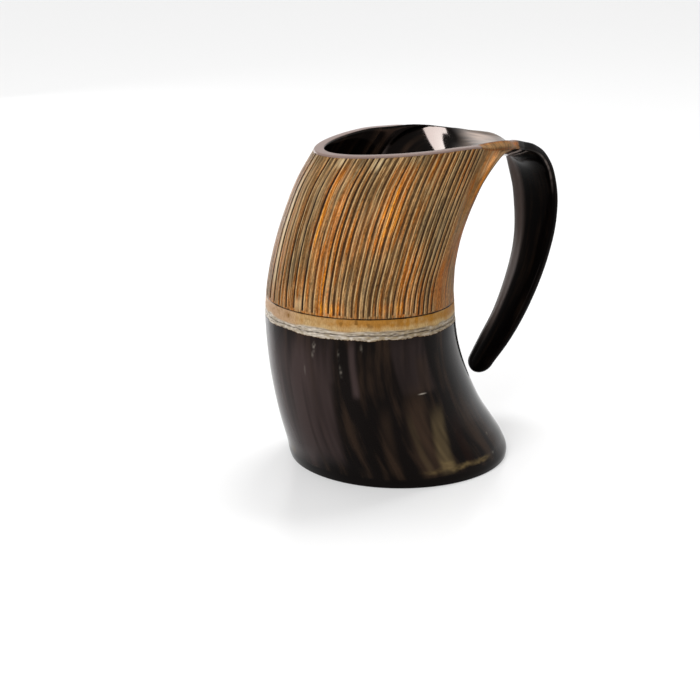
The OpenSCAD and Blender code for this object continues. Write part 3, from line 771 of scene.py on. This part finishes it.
lowShares = {}
for name, streaks in lowStreaks.items():
    total = 0 * z
    for topAngle, topZ, lowAngle, lowZ, halfAngle, softness, strength in streaks:
        t = (topZ - z) / (topZ - lowZ)
        off = np.abs(angleFrom(mix(topAngle, lowAngle, t) + lineNoise(name, z)))
        alongIt = ease(t / tones["streakIn"]) * ease((tones["streakEnd"] - t) / tones["streakOut"])
        total = total + strength * ease((1 - off / halfAngle) / softness) * alongIt
    broken = tones["streakLevel"] + fieldNoise("streaks", arc, z)
    lowShares[name] = np.clip(total * broken, 0, 1) * (1 - footEdge)
nick, gold = 0 * z, 0 * z
for centre, up, halfAngle, halfHeight, strength in lowNicks:
    # flat nicks stay whole, and tall specks are broken up
    broken = 1 if halfHeight < 1 else ease(tones["nickLevel"] + fieldNoise("nicks", arc, z))
    nick = nick + strength * bump(angleFrom(centre), 0, halfAngle) * bump(z, up, halfHeight) * broken
for centre, up, halfAngle, halfHeight, strength in lowGold:
    patch = bump(angleFrom(centre), 0, halfAngle) * bump(z + lineNoise("gold", arc), up, halfHeight)
    gold = gold + strength * patch * (tones["goldLevel"] + fieldNoise("gold", arc, z))

lowerLines = np.maximum(lowerLine, secondLine * tones["secondLine"])
lowerLines = lowerLines * (tones["scribedLevel"] + fieldNoise("scribed", arc, z))
wornHere = tones["wornLevel"] + tones["wornMore"] * ease((base - tones["wornFrom"]) / tones["wornOver"])
# what each share of colour is on the outer wall
wallMasks = {
    **lowShares, "cut": shade, "burrAndHighlight": burrAndHighlight, "cutLight": cutLight, "pale": np.clip(pale, 0, 1) * aboveBand,
    "scratch": scratch, "band": bandShare, "scraped": scraped, "foot": footEdge, "nick": nick,
    "gold": np.clip(gold, 0, 1) * (1 - footEdge),
    "bandBeige": np.interp(baseHere, *tones["beige"]), "bandGold": bandGold + fieldNoise("bandGold", arc, z),
    "bandSpots": spots + blot,
    "scribed": np.maximum(upperLine, lowerLines), "worn": wornHere + fieldNoise("worn", arc, z),
}


def onWall(values):
    full = np.zeros(len(points))
    full[outerFlat] = np.broadcast_to(values, outerGrid.shape).reshape(-1)
    return full


# The strip's colours: places along it are shares of its length, and steps go across a cut edge from 0 to 1
stripTones = {
    "length": 160.0,           # millimetres along the strip
    "amberEnd": 0.055, "amberOver": 0.02, "underAmberEnd": 0.045, "underAmberOver": 0.04, "amberWave": (9, 6),
    "cutFace": (0.28, 0.52), "cutFaceOver": 0.1, "cutFaceReach": 2, "cutFaceGain": 6, "cutFaceLess": 0.5,
    "rimInner": (0.72, 0.56), "rimInnerOver": 0.08, "rimInnerAngle": 112, "rimInnerSpread": 40,
    "creasesAlong": (0.100, 0.06), "creasesSide": (-0.7, 0.75), "creasesFrom": 0.1, "creasesOver": 0.5,
    "creasesWide": 20, "glintStep": (0.2, 0.1), "glintAlong": (0.27, 0.12), "wornLevel": 0.55, "glintShare": 0.6,
    "palerSlant": 0.9, "palerFrom": 37, "palerOver": 19, "paleReflectionEnd": 0.12, "paleReflectionOver": 0.18, "paleReflectionLevel": 0.78,
    "paleReflectionWide": 18, "paleReflectionStep": 0.3, "paleReflectionUp": 132, "paleReflectionUpOver": 12,
    "sheenStep": 0.5, "sheenSide": 0.45, "sheenOver": 0.6, "sheenFrom": 0.12, "sheenStart": 0.1, "sheenEnd": 0.8,
    "sheenStop": 0.15,
    "bareCombed": 0.28, "edgeCombed": 0.2, "edgeWide": 8, "edgeTone": 0.55, "edgeLight": 0.86,
    "edgeDark": 0.3, "edgeDarkStep": (0.05, 0.2), "skinApart": 6.0,
    "lacqueredTo": 0.3, "wornFrom": 0.1,
}
isWall, isInside, isRim, isUnder, isUpper, isStripEdge = (tags["part"] == number for number in parts.values())
isEdge = isRim | isStripEdge
along, step, side = tags["along"], tags["step"], tags["side"]
run = along * stripTones["length"]


def endsAt(place, end, over):
    return 1 - ease((place - end) / over)


# the amber ends along the strip in an uneven line, and the horn is black past it
waveWide, waveDeep = stripTones["amberWave"]
amberEnd = stripTones["amberEnd"] + fieldNoise("amberEnd", side * waveWide, step * waveDeep)
underEnd = amberEnd - stripTones["underAmberEnd"]
stripAmber = endsAt(along, amberEnd, stripTones["amberOver"])
cutFaceEnd = mix(*stripTones["cutFace"], ease(tags["chamfer"] * stripTones["cutFaceReach"]))
cutFace = ease(tags["chamfer"] * stripTones["cutFaceGain"] - stripTones["cutFaceLess"])
cutFace = isEdge * cutFace * endsAt(step, cutFaceEnd, stripTones["cutFaceOver"])
rimShare = ease((stripTones["rimInnerAngle"] - np.abs(tags["angle"])) / stripTones["rimInnerSpread"]) * isRim
rimInner = mix(*stripTones["rimInner"], rimShare)
# the pale crease marks across the under face by the root are partly pale scratches and partly painted highlights on
# compression creases that have no relief
creases = lineNoise("creases", run + fieldNoise("creases", side * stripTones["creasesWide"], run))
creasesAndGlint = (isUnder * bump(along, *stripTones["creasesAlong"]) * bump(side, *stripTones["creasesSide"])
           * ease((creases - stripTones["creasesFrom"]) / stripTones["creasesOver"]))
# painted glint: a pale line along the near edge's corner, where the under face meets the cut edge, stands for light
# catching that ridge
paintedEdgeGlint = (isStripEdge * (side < 0) * bump(step, *stripTones["glintStep"]) * bump(along, *stripTones["glintAlong"])
             * (stripTones["wornLevel"] + lineNoise("paintedEdgeGlint", run)))
# painted reflection: the strip's upper face, the top of its far edge and the far inside wall near the rim are
# coloured pale pinkish grey, growing toward the bend, for the bright room they reflect
slanted = points[:, 0] - stripTones["palerSlant"] * points[:, 1]
paler = ease((slanted - stripTones["palerFrom"]) / stripTones["palerOver"])
farTop = isStripEdge & (side > 0) & (step > stripTones["paleReflectionStep"])
paleReflectionInside = ease((tags["height"] - stripTones["paleReflectionUp"]) / stripTones["paleReflectionUpOver"])
paleReflection = ((isUpper | farTop) * endsAt(along, stripTones["paleReflectionEnd"], stripTones["paleReflectionOver"])
          + isInside * (tags["angle"] < 180) * paleReflectionInside)
paleReflection = paleReflection * paler * (stripTones["paleReflectionLevel"] + fieldNoise("paleReflection", side * stripTones["paleReflectionWide"], run))
# painted reflection: a pinkish grey band along the far side of the handle's under face and the lower part of its far
# edge stands for the bright room reflected there
handleSheen = (isUnder * ease((side - stripTones["sheenSide"]) / stripTones["sheenOver"])
        + isStripEdge * (side > 0) * (1 - ease(step / stripTones["sheenStep"])))
handleSheen = (handleSheen * ease((along - stripTones["sheenFrom"]) / stripTones["sheenStart"])
        * endsAt(along, stripTones["sheenEnd"], stripTones["sheenStop"]))
acrossEdge = step * stripTones["edgeWide"]
edgeTone = stripTones["edgeTone"] + fieldNoise("edgeTone", run, acrossEdge)
edgeLight = stripTones["edgeLight"] + fieldNoise("edgeLight", run, acrossEdge)
edgeLight = edgeLight - stripTones["edgeDark"] * bump(step, *stripTones["edgeDarkStep"])
underAmber = isUnder * endsAt(along, underEnd, stripTones["underAmberOver"])
masks = {name: onWall(np.clip(values, 0, 1)) for name, values in wallMasks.items()}
masks |= {
    "amber": np.clip(onWall(np.maximum(aboveBand, bandShare)) + cutFace * stripAmber + underAmber, 0, 1),
    "combed": onWall(mix(1, stripTones["bareCombed"], np.clip(bareShare, 0, 1))) + stripTones["edgeCombed"] * isEdge,
    "tone": np.where(isWall, onWall(tone), edgeTone),
    "light": np.where(isWall, onWall(light), edgeLight),
    # partly painted reflection: the rim's flat top gets a pale grey-mauve that stands for the bright room it
    # reflects, over the horn's own colour
    "rim": isEdge * stripAmber * (1 - cutFace) * endsAt(step, rimInner, stripTones["rimInnerOver"]),
    "handleReflection": handleSheen,
    "creasesAndGlint": np.clip(creasesAndGlint + stripTones["glintShare"] * paintedEdgeGlint, 0, 1),
    "paleReflection": np.clip(paleReflection, 0, 1),
}
# millimetres across and along the fibre, and which skin of the horn a point is on
rootArc = np.radians(horn["rootAngle"]) * carving["arcRadius"]
wallArc = np.radians(np.where(tags["base"] < seam, tags["base"] + 360, tags["base"])) * carving["arcRadius"]
stripArc = 2 * math.pi * carving["arcRadius"] + side * rootArc * stripHalfWidth(along) / (horn["rootWidth"] / 2)
onStrip = isUnder | isUpper | isStripEdge
fibre = np.stack([np.where(onStrip, stripArc, wallArc), np.where(onStrip, topHeight + run, tags["height"]),
                  np.where(isEdge, step, isUpper | isInside) * stripTones["skinApart"]], -1)


def meshObject(name, points, faces):
    mesh = bpy.data.meshes.new(name)
    corners = np.concatenate([f.reshape(-1) for f in faces])
    sizes = np.concatenate([np.full(len(f), f.shape[1]) for f in faces])
    mesh.vertices.add(len(points))
    mesh.vertices.foreach_set("co", (points * millimetre).astype(np.float32).ravel())
    mesh.loops.add(len(corners))
    mesh.loops.foreach_set("vertex_index", corners.astype(np.int32))
    mesh.polygons.add(len(sizes))
    mesh.polygons.foreach_set("loop_start", np.concatenate([[0], np.cumsum(sizes)[:-1]]).astype(np.int32))
    mesh.polygons.foreach_set("use_smooth", np.ones(len(sizes), bool))
    mesh.update(calc_edges=True)
    mesh.validate()
    made = bpy.data.objects.new(name, mesh)
    bpy.context.scene.collection.objects.link(made)
    return made


print("horn: its piece")
hornPiece = meshObject("mug_horn", points, [quads, tipFaces])
for name, values in masks.items():
    layer = hornPiece.data.attributes.new(name, "FLOAT", "POINT")
    layer.data.foreach_set("value", np.asarray(values, np.float32))
fibreLayer = hornPiece.data.attributes.new("fibre", "FLOAT_VECTOR", "POINT")
fibreLayer.data.foreach_set("vector", fibre.astype(np.float32).ravel())
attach(hornPiece, "root")
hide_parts("horn_body", "handle")


def addNode(tree, kind, settings=None, links=None):
    # one node with its settings, and its inputs linked or set
    node = tree.nodes.new("ShaderNode" + kind)
    for name, value in (settings or {}).items():
        setattr(node, name, value)
    for name, value in (links or {}).items():
        socket = node.inputs[name]
        if isinstance(value, bpy.types.NodeSocket):
            tree.links.new(value, socket)
        else:
            socket.default_value = value
    return node


def newMaterial(name):
    material = bpy.data.materials.new(name)
    material.use_nodes = True
    material.node_tree.nodes.clear()
    return material, material.node_tree


# Ox horn is keratin, IOR 1.54. The carved field is scraped and only lightly polished, so it is satin and amber; the
# plain parts are buffed to a gloss, near-black with clouded streaks that let a little light in. The pale pinkish
# grey on the strip's upper face and in the cup is a painted reflection.
hornLook = {
    "tones": [(0.0, "#67563f"), (0.28, "#8a6a44"), (0.5, "#9d6a37"), (0.75, "#ad6220"), (1.0, "#d4851d")],
    "colours": {
        # the pale burr colour is partly a painted highlight beside each cut
        # the two cut colours are painted shade in the cuts
        "cream": "#e3c99c", "burrAndHighlight": "#dfbd88", "cut": "#2b2018", "paleCutShade": "#4d361e", "scratch": "#5a3f22",
        "bandCream": "#c2a36f", "bandGold": "#a97325", "bandBeige": "#b8977a", "bandSpots": "#7d5626",
        # the scribed-line colour is painted shade
        "scraped": "#d5cbbd", "scrapedDark": "#5f554b", "scrapedWorn": "#9c8b70", "line": "#261f1a",
        # the mauve colour is partly a painted reflection
        "black": "#060505", "olive": "#5b4d36", "brown": "#382a20", "rust": "#1d0a04", "mauveAndSheen": "#3c3130",
        # the pale crease colour is partly a painted glint
        # the pale pinkish grey of the strip's upper face and the cup is a painted reflection
        # the rim colour is partly a painted reflection
        "gold": "#85704a", "nick": "#9d958a", "rim": "#84716a", "creasesAndGlint": "#b5a69f", "paleReflection": "#b19c8e",
        # the handle's pinkish grey is a painted reflection
        "handleReflection": "#564b47", "tint": "#ffe6dc",
    },
    # noise in mm across and along the fibre: clouds, hairlines, the scraper's grain, and the edge brushed crosswise
    "noises": {"cloud": (6.0, 45.0), "hairline": (0.5, 14.0), "grain": (0.45, 1.5), "brushed": (5.0, 0.28)},
    "acrossSkin": 0.3, "detail": 3.0, "noiseRough": 0.55,
    # what is made from the noise: its source, the source's low and high, what these give, and how
    "shares": {
        "hairlineLight": ("hairline", 0.3, 0.7, 0.62, 1.34, "LINEAR"),
        "grainLight": ("grain", 0.34, 0.66, 0.55, 1.5, "LINEAR"),
        # grain in the painted highlight beside each cut
        "fineBurrHighlight": ("grain", 0.3, 0.6, 0.6, 1.0, "LINEAR"),
        "darkHairs": ("hairline", 0.44, 0.30, 0.0, 0.5, "SMOOTHSTEP"),
        "paleHairs": ("hairline", 0.55, 0.70, 0.0, 0.6, "SMOOTHSTEP"),
        "bandTicks": ("grain", 0.40, 0.62, 0.0, 0.35, "SMOOTHSTEP"),
        "brushed": ("brushed", 0.48, 0.68, 0.0, 1.0, "SMOOTHSTEP"),
    },
    "cloudRange": (0.46, 0.72),
    # layers of colour, each new name built up from a ground: the share of a layer, then its colour
    "layers": [
        ("bandHere", "bandCream", [("bandGold", "bandGold"), ("bandBeige", "bandBeige"), ("bandSpots", "bandSpots"),
                                   ("bandTicks", "bandSpots")]),
        # painted shade in the cuts, paler in places
        ("cutShadeHere", "cut", [("cutLight", "paleCutShade")]),
        ("roughEdge", "scraped", [("worn", "scrapedWorn"), ("brushed", "scrapedDark")]),
        ("amberHere", "amberGround", [("darkHairs", "scratch"), ("paleHairs", "burrAndHighlight"), ("pale", "cream"),
                                      ("fineBurrHighlight", "burrAndHighlight"), ("cut", "cutShadeHere"), ("scratch", "scratch"),
                                      ("band", "bandHere"), ("scraped", "roughEdge"), ("scribed", "line")]),
        # the dark horn under the ring, in the cup and on the handle, with its painted reflections and glint
        ("darkHere", "black", [("clouds", "brown"), ("mauveAndSheen", "mauveAndSheen"), ("handleReflection", "handleReflection"),
                               ("brown", "brown"), ("olive", "olive"), ("rust", "rust"), ("gold", "gold"),
                               ("nick", "nick"), ("paleReflection", "paleReflection"), ("rim", "rim"), ("creasesAndGlint", "creasesAndGlint"),
                               ("foot", "black")]),
        ("skin", "darkHere", [("amber", "amberHere")]),
    ],
    "toneSpread": 0.5, "toneLess": 0.25, "satin": 0.42, "rimSatin": 0.3, "ior": 1.54,
    "relief": 0.35, "reliefDepth": 0.00025,
    # name, roughness where it is bare, gloss and clouds: wax holds the gloss down, lacquer is glossy, hands dull it
    "finishes": [
        ("waxed and carved ox horn", 0.13, 0.06, 0.6),
        ("lacquered inside of the horn", 0.07, 0.42, 0.6),
        ("hand-worn black horn", 0.13, 0.012, 0.22),
    ],
}


def makeHornSkin(name, polished, level, cloudiness):
    material, tree = newMaterial(name)
    look = hornLook
    colours = {key: linearColor(code) for key, code in look["colours"].items()}
    fibres = addNode(tree, "Attribute", {"attribute_name": "fibre"}).outputs["Vector"]
    shares = {key: addNode(tree, "Attribute", {"attribute_name": key}).outputs["Fac"] for key in masks}
    noises = {}
    for key, (wide, tall) in look["noises"].items():
        scale = (1 / wide, 1 / tall, look["acrossSkin"])
        scaled = addNode(tree, "Mapping", {}, {"Vector": fibres, "Scale": scale}).outputs[0]
        noises[key] = addNode(tree, "TexNoise", {}, {"Vector": scaled, "Scale": 1.0, "Detail": look["detail"],
                                                     "Roughness": look["noiseRough"]}).outputs["Fac"]
    cloudSpan = ("cloud", *look["cloudRange"], 0.0, cloudiness, "SMOOTHSTEP")
    for key, (source, low, high, toLow, toHigh, easing) in {**look["shares"], "clouds": cloudSpan}.items():
        shares[key] = addNode(tree, "MapRange", {"interpolation_type": easing},
                              {"Value": noises[source], "From Min": low, "From Max": high,
                               "To Min": toLow, "To Max": toHigh}).outputs[0]
    for key, mask in (("darkHairs", "combed"), ("paleHairs", "combed"), ("fineBurrHighlight", "burrAndHighlight")):
        shares[key] = addNode(tree, "Math", {"operation": "MULTIPLY"}, {0: shares[key], 1: shares[mask]}).outputs[0]

    # tone of the amber, from grey-brown to orange
    toneHere = addNode(tree, "Math", {"operation": "MULTIPLY_ADD"},
                       {0: noises["hairline"], 1: look["toneSpread"], 2: shares["tone"]}).outputs[0]
    toneHere = addNode(tree, "Math", {"operation": "SUBTRACT"}, {0: toneHere, 1: look["toneLess"]}).outputs[0]
    ramp = addNode(tree, "ValToRGB", {}, {"Fac": toneHere})
    while len(ramp.color_ramp.elements) < len(look["tones"]):
        ramp.color_ramp.elements.new(0.5)
    for element, (place, code) in zip(ramp.color_ramp.elements, look["tones"]):
        element.position, element.color = place, linearColor(code)
    lightHere = addNode(tree, "Mix", {}, {0: shares["combed"], 2: 1.0, 3: shares["hairlineLight"]}).outputs[0]
    for share in ("light", "grainLight"):
        lightHere = addNode(tree, "Math", {"operation": "MULTIPLY"}, {0: lightHere, 1: shares[share]}).outputs[0]
    grey = addNode(tree, "CombineColor", {}, {0: lightHere, 1: lightHere, 2: lightHere}).outputs[0]
    multiplied = {"data_type": "RGBA", "blend_type": "MULTIPLY", "clamp_result": False}
    colours["amberGround"] = addNode(tree, "Mix", multiplied, {0: 1.0, 6: ramp.outputs[0], 7: grey}).outputs[2]
    for made, ground, layers in look["layers"]:
        colours[made] = colours[ground]
        for share, over in layers:
            colours[made] = addNode(tree, "Mix", {"data_type": "RGBA"},
                                    {0: shares[share], 6: colours[made], 7: colours[over]}).outputs[2]

    satin = addNode(tree, "MapRange", {}, {"Value": shares["amber"], "To Min": polished, "To Max": look["satin"]})
    satin = addNode(tree, "Mix", {}, {0: shares["rim"], 2: satin.outputs[0], 3: look["rimSatin"]}).outputs[0]
    height = addNode(tree, "Math", {"operation": "MULTIPLY"}, {0: noises["grain"], 1: shares["amber"]}).outputs[0]
    relief = addNode(tree, "Bump", {}, {"Strength": look["relief"], "Distance": look["reliefDepth"],
                                        "Height": height}).outputs[0]
    shader = addNode(tree, "BsdfPrincipled", {}, {
        "Base Color": colours["skin"], "Roughness": satin, "IOR": look["ior"], "Specular IOR Level": level,
        "Specular Tint": colours["tint"], "Normal": relief})
    addNode(tree, "OutputMaterial", {}, {"Surface": shader.outputs[0]})
    return material


print("horn: its finishes")
for finish in hornLook["finishes"]:
    hornPiece.data.materials.append(makeHornSkin(*finish))
lacquered = isInside | (isUpper & (along < stripTones["lacqueredTo"]))
worn = (along > stripTones["wornFrom"])[quads].all(axis=1)
finishHere = np.where(lacquered[quads].all(axis=1), 1, np.where(worn, 2, 0))
hornPiece.data.polygons.foreach_set("material_index",
                                    np.append(finishHere, np.full(len(tipFaces), 2)).astype(np.int32))

# The disc is a slice of black horn, sanded flat and oiled: fine straight scratches, 0.4 mm apart so that they show.
# The bead is clear brown epoxy, IOR 1.55, that levelled by itself: smooth, with a few small bubbles.
baseLook = {
    "base_disc": {"name": "sanded black horn", "code": "#0d0a08", "streak": "#241b15",
                  "grain": (2500.0, 60.0, 400.0), "rough": 0.34, "ior": 1.54},
    "seal_bead": {"name": "poured brown resin", "code": "#2a1b0e", "streak": "#3d2915",
                  "grain": (700.0, 700.0, 700.0), "rough": 0.12, "ior": 1.55},
}
baseGrain = {"detail": 3.0, "low": 0.4, "high": 0.65, "smoother": 0.8, "rougher": 1.25,
             "relief": 0.15, "reliefDepth": 0.0002}


def makeBaseFinish(look):
    material, tree = newMaterial(look["name"])
    place = addNode(tree, "TexCoord").outputs["Object"]
    scaled = addNode(tree, "Mapping", {}, {"Vector": place, "Scale": look["grain"]}).outputs[0]
    grain = addNode(tree, "TexNoise", {}, {"Vector": scaled, "Scale": 1.0,
                                            "Detail": baseGrain["detail"]}).outputs["Fac"]
    share = addNode(tree, "MapRange", {}, {"Value": grain, "From Min": baseGrain["low"],
                                           "From Max": baseGrain["high"]}).outputs[0]
    colour = addNode(tree, "Mix", {"data_type": "RGBA"}, {0: share, 6: linearColor(look["code"]),
                                                          7: linearColor(look["streak"])}).outputs[2]
    rough = addNode(tree, "MapRange", {}, {"Value": grain, "To Min": look["rough"] * baseGrain["smoother"],
                                           "To Max": look["rough"] * baseGrain["rougher"]}).outputs[0]
    relief = addNode(tree, "Bump", {}, {"Strength": baseGrain["relief"], "Distance": baseGrain["reliefDepth"],
                                        "Height": grain}).outputs[0]
    shader = addNode(tree, "BsdfPrincipled", {}, {"Base Color": colour, "Roughness": rough, "IOR": look["ior"],
                                                  "Normal": relief})
    addNode(tree, "OutputMaterial", {}, {"Surface": shader.outputs[0]})
    return material


print("disc and bead: their finishes")
for node, look in baseLook.items():
    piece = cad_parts[node]
    piece.data.materials.clear()
    piece.data.materials.append(makeBaseFinish(look))

print("stage, lamps and camera")
stage = {
    "floorSize": 8.0, "floorDown": 0.0002, "floor": "#d6d6d6", "floorRough": 0.25, "floorGloss": 0.3,
    "white": "#ffffff", "glow": 0.3,                        # the glow only whitens what camera and gloss see
    "skyLight": 0.5,                                        # what the white surroundings give to the object
    "ceiling": 0.1, "ceilingFrom": 0.45, "ceilingTo": 0.8,  # the room is dim overhead, as gloss shows
    "softboxes": [
        {"name": "softbox_top", "place": (0.39, 0.14, 1.1), "size": (0.5, 0.27), "watts": 6.5},
        {"name": "softbox_left", "place": (-0.95, -0.35, 0.75), "size": (0.6, 0.6), "watts": 8},
        {"name": "softbox_back", "place": (0.05, 0.95, 0.14), "size": (0.5, 0.34), "watts": 3},
    ],
    "aim": (0, 0, 0.08),
    "lens": 95.14, "sensor": 36, "near": 0.01,
    "cameraPlace": (-0.5721, -0.6017, 0.3191), "cameraTurn": (72, 0, -42),
}


def seenDirectly(tree, rays):
    # 1 for what the camera, gloss and glass see, and 0 for what lights the object
    seen = rays["Is Camera Ray"]
    for ray in ("Is Glossy Ray", "Is Transmission Ray"):
        seen = addNode(tree, "Math", {"operation": "MAXIMUM"}, {0: seen, 1: rays[ray]}).outputs[0]
    return seen


bpy.ops.mesh.primitive_plane_add(size=stage["floorSize"], location=(0, 0, -stage["floorDown"]))
floor = bpy.context.object
floor.name = "floor"
material, tree = newMaterial("pale studio floor")
floorShader = addNode(tree, "BsdfPrincipled", {}, {"Base Color": linearColor(stage["floor"]),
                                                   "Roughness": stage["floorRough"],
                                                   "Specular IOR Level": stage["floorGloss"]})
seen = seenDirectly(tree, addNode(tree, "LightPath").outputs)
seen = addNode(tree, "Math", {"operation": "MULTIPLY"}, {0: seen, 1: stage["glow"]}).outputs[0]
glow = addNode(tree, "Emission", {}, {"Color": linearColor(stage["white"]), "Strength": seen})
both = addNode(tree, "AddShader", {}, {0: floorShader.outputs[0], 1: glow.outputs[0]})
addNode(tree, "OutputMaterial", {}, {"Surface": both.outputs[0]})
floor.data.materials.append(material)

world = bpy.context.scene.world or bpy.data.worlds.new("studio")
bpy.context.scene.world = world
world.use_nodes = True
tree = world.node_tree
tree.nodes.clear()
rays = addNode(tree, "LightPath").outputs
seen = seenDirectly(tree, rays)
skyUp = addNode(tree, "SeparateXYZ", {}, {"Vector": addNode(tree, "TexCoord").outputs["Generated"]}).outputs["Z"]
overhead = addNode(tree, "MapRange", {}, {"Value": skyUp, "From Min": stage["ceilingFrom"],
                                          "From Max": stage["ceilingTo"], "To Min": 1.0,
                                          "To Max": stage["ceiling"]}).outputs[0]
bright = addNode(tree, "Math", {"operation": "MAXIMUM"}, {0: overhead, 1: rays["Is Camera Ray"]}).outputs[0]
strength = addNode(tree, "Mix", {}, {0: seen, 2: stage["skyLight"], 3: bright}).outputs[0]
sky = addNode(tree, "Background", {}, {"Color": linearColor(stage["white"]), "Strength": strength})
addNode(tree, "OutputWorld", {}, {"Surface": sky.outputs[0]})

for box in stage["softboxes"]:
    lamp = bpy.data.lights.new(box["name"], "AREA")
    lamp.shape = "RECTANGLE"
    lamp.size, lamp.size_y = box["size"]
    lamp.energy = box["watts"]
    made = bpy.data.objects.new(box["name"], lamp)
    made.location = box["place"]
    way = np.array(stage["aim"]) - np.array(box["place"])
    made.rotation_euler = (math.acos(-way[2] / np.linalg.norm(way)), 0, math.atan2(way[1], way[0]) - math.pi / 2)
    made.visible_camera = False
    bpy.context.scene.collection.objects.link(made)

cameraBody = bpy.data.cameras.new("camera")
cameraBody.lens, cameraBody.sensor_width = stage["lens"], stage["sensor"]
cameraBody.clip_start = stage["near"]
camera = bpy.data.objects.new("camera", cameraBody)
camera.location = stage["cameraPlace"]
camera.rotation_euler = [math.radians(turn) for turn in stage["cameraTurn"]]
bpy.context.scene.collection.objects.link(camera)
bpy.context.scene.camera = camera
bpy.context.scene.view_settings.view_transform = "Standard"
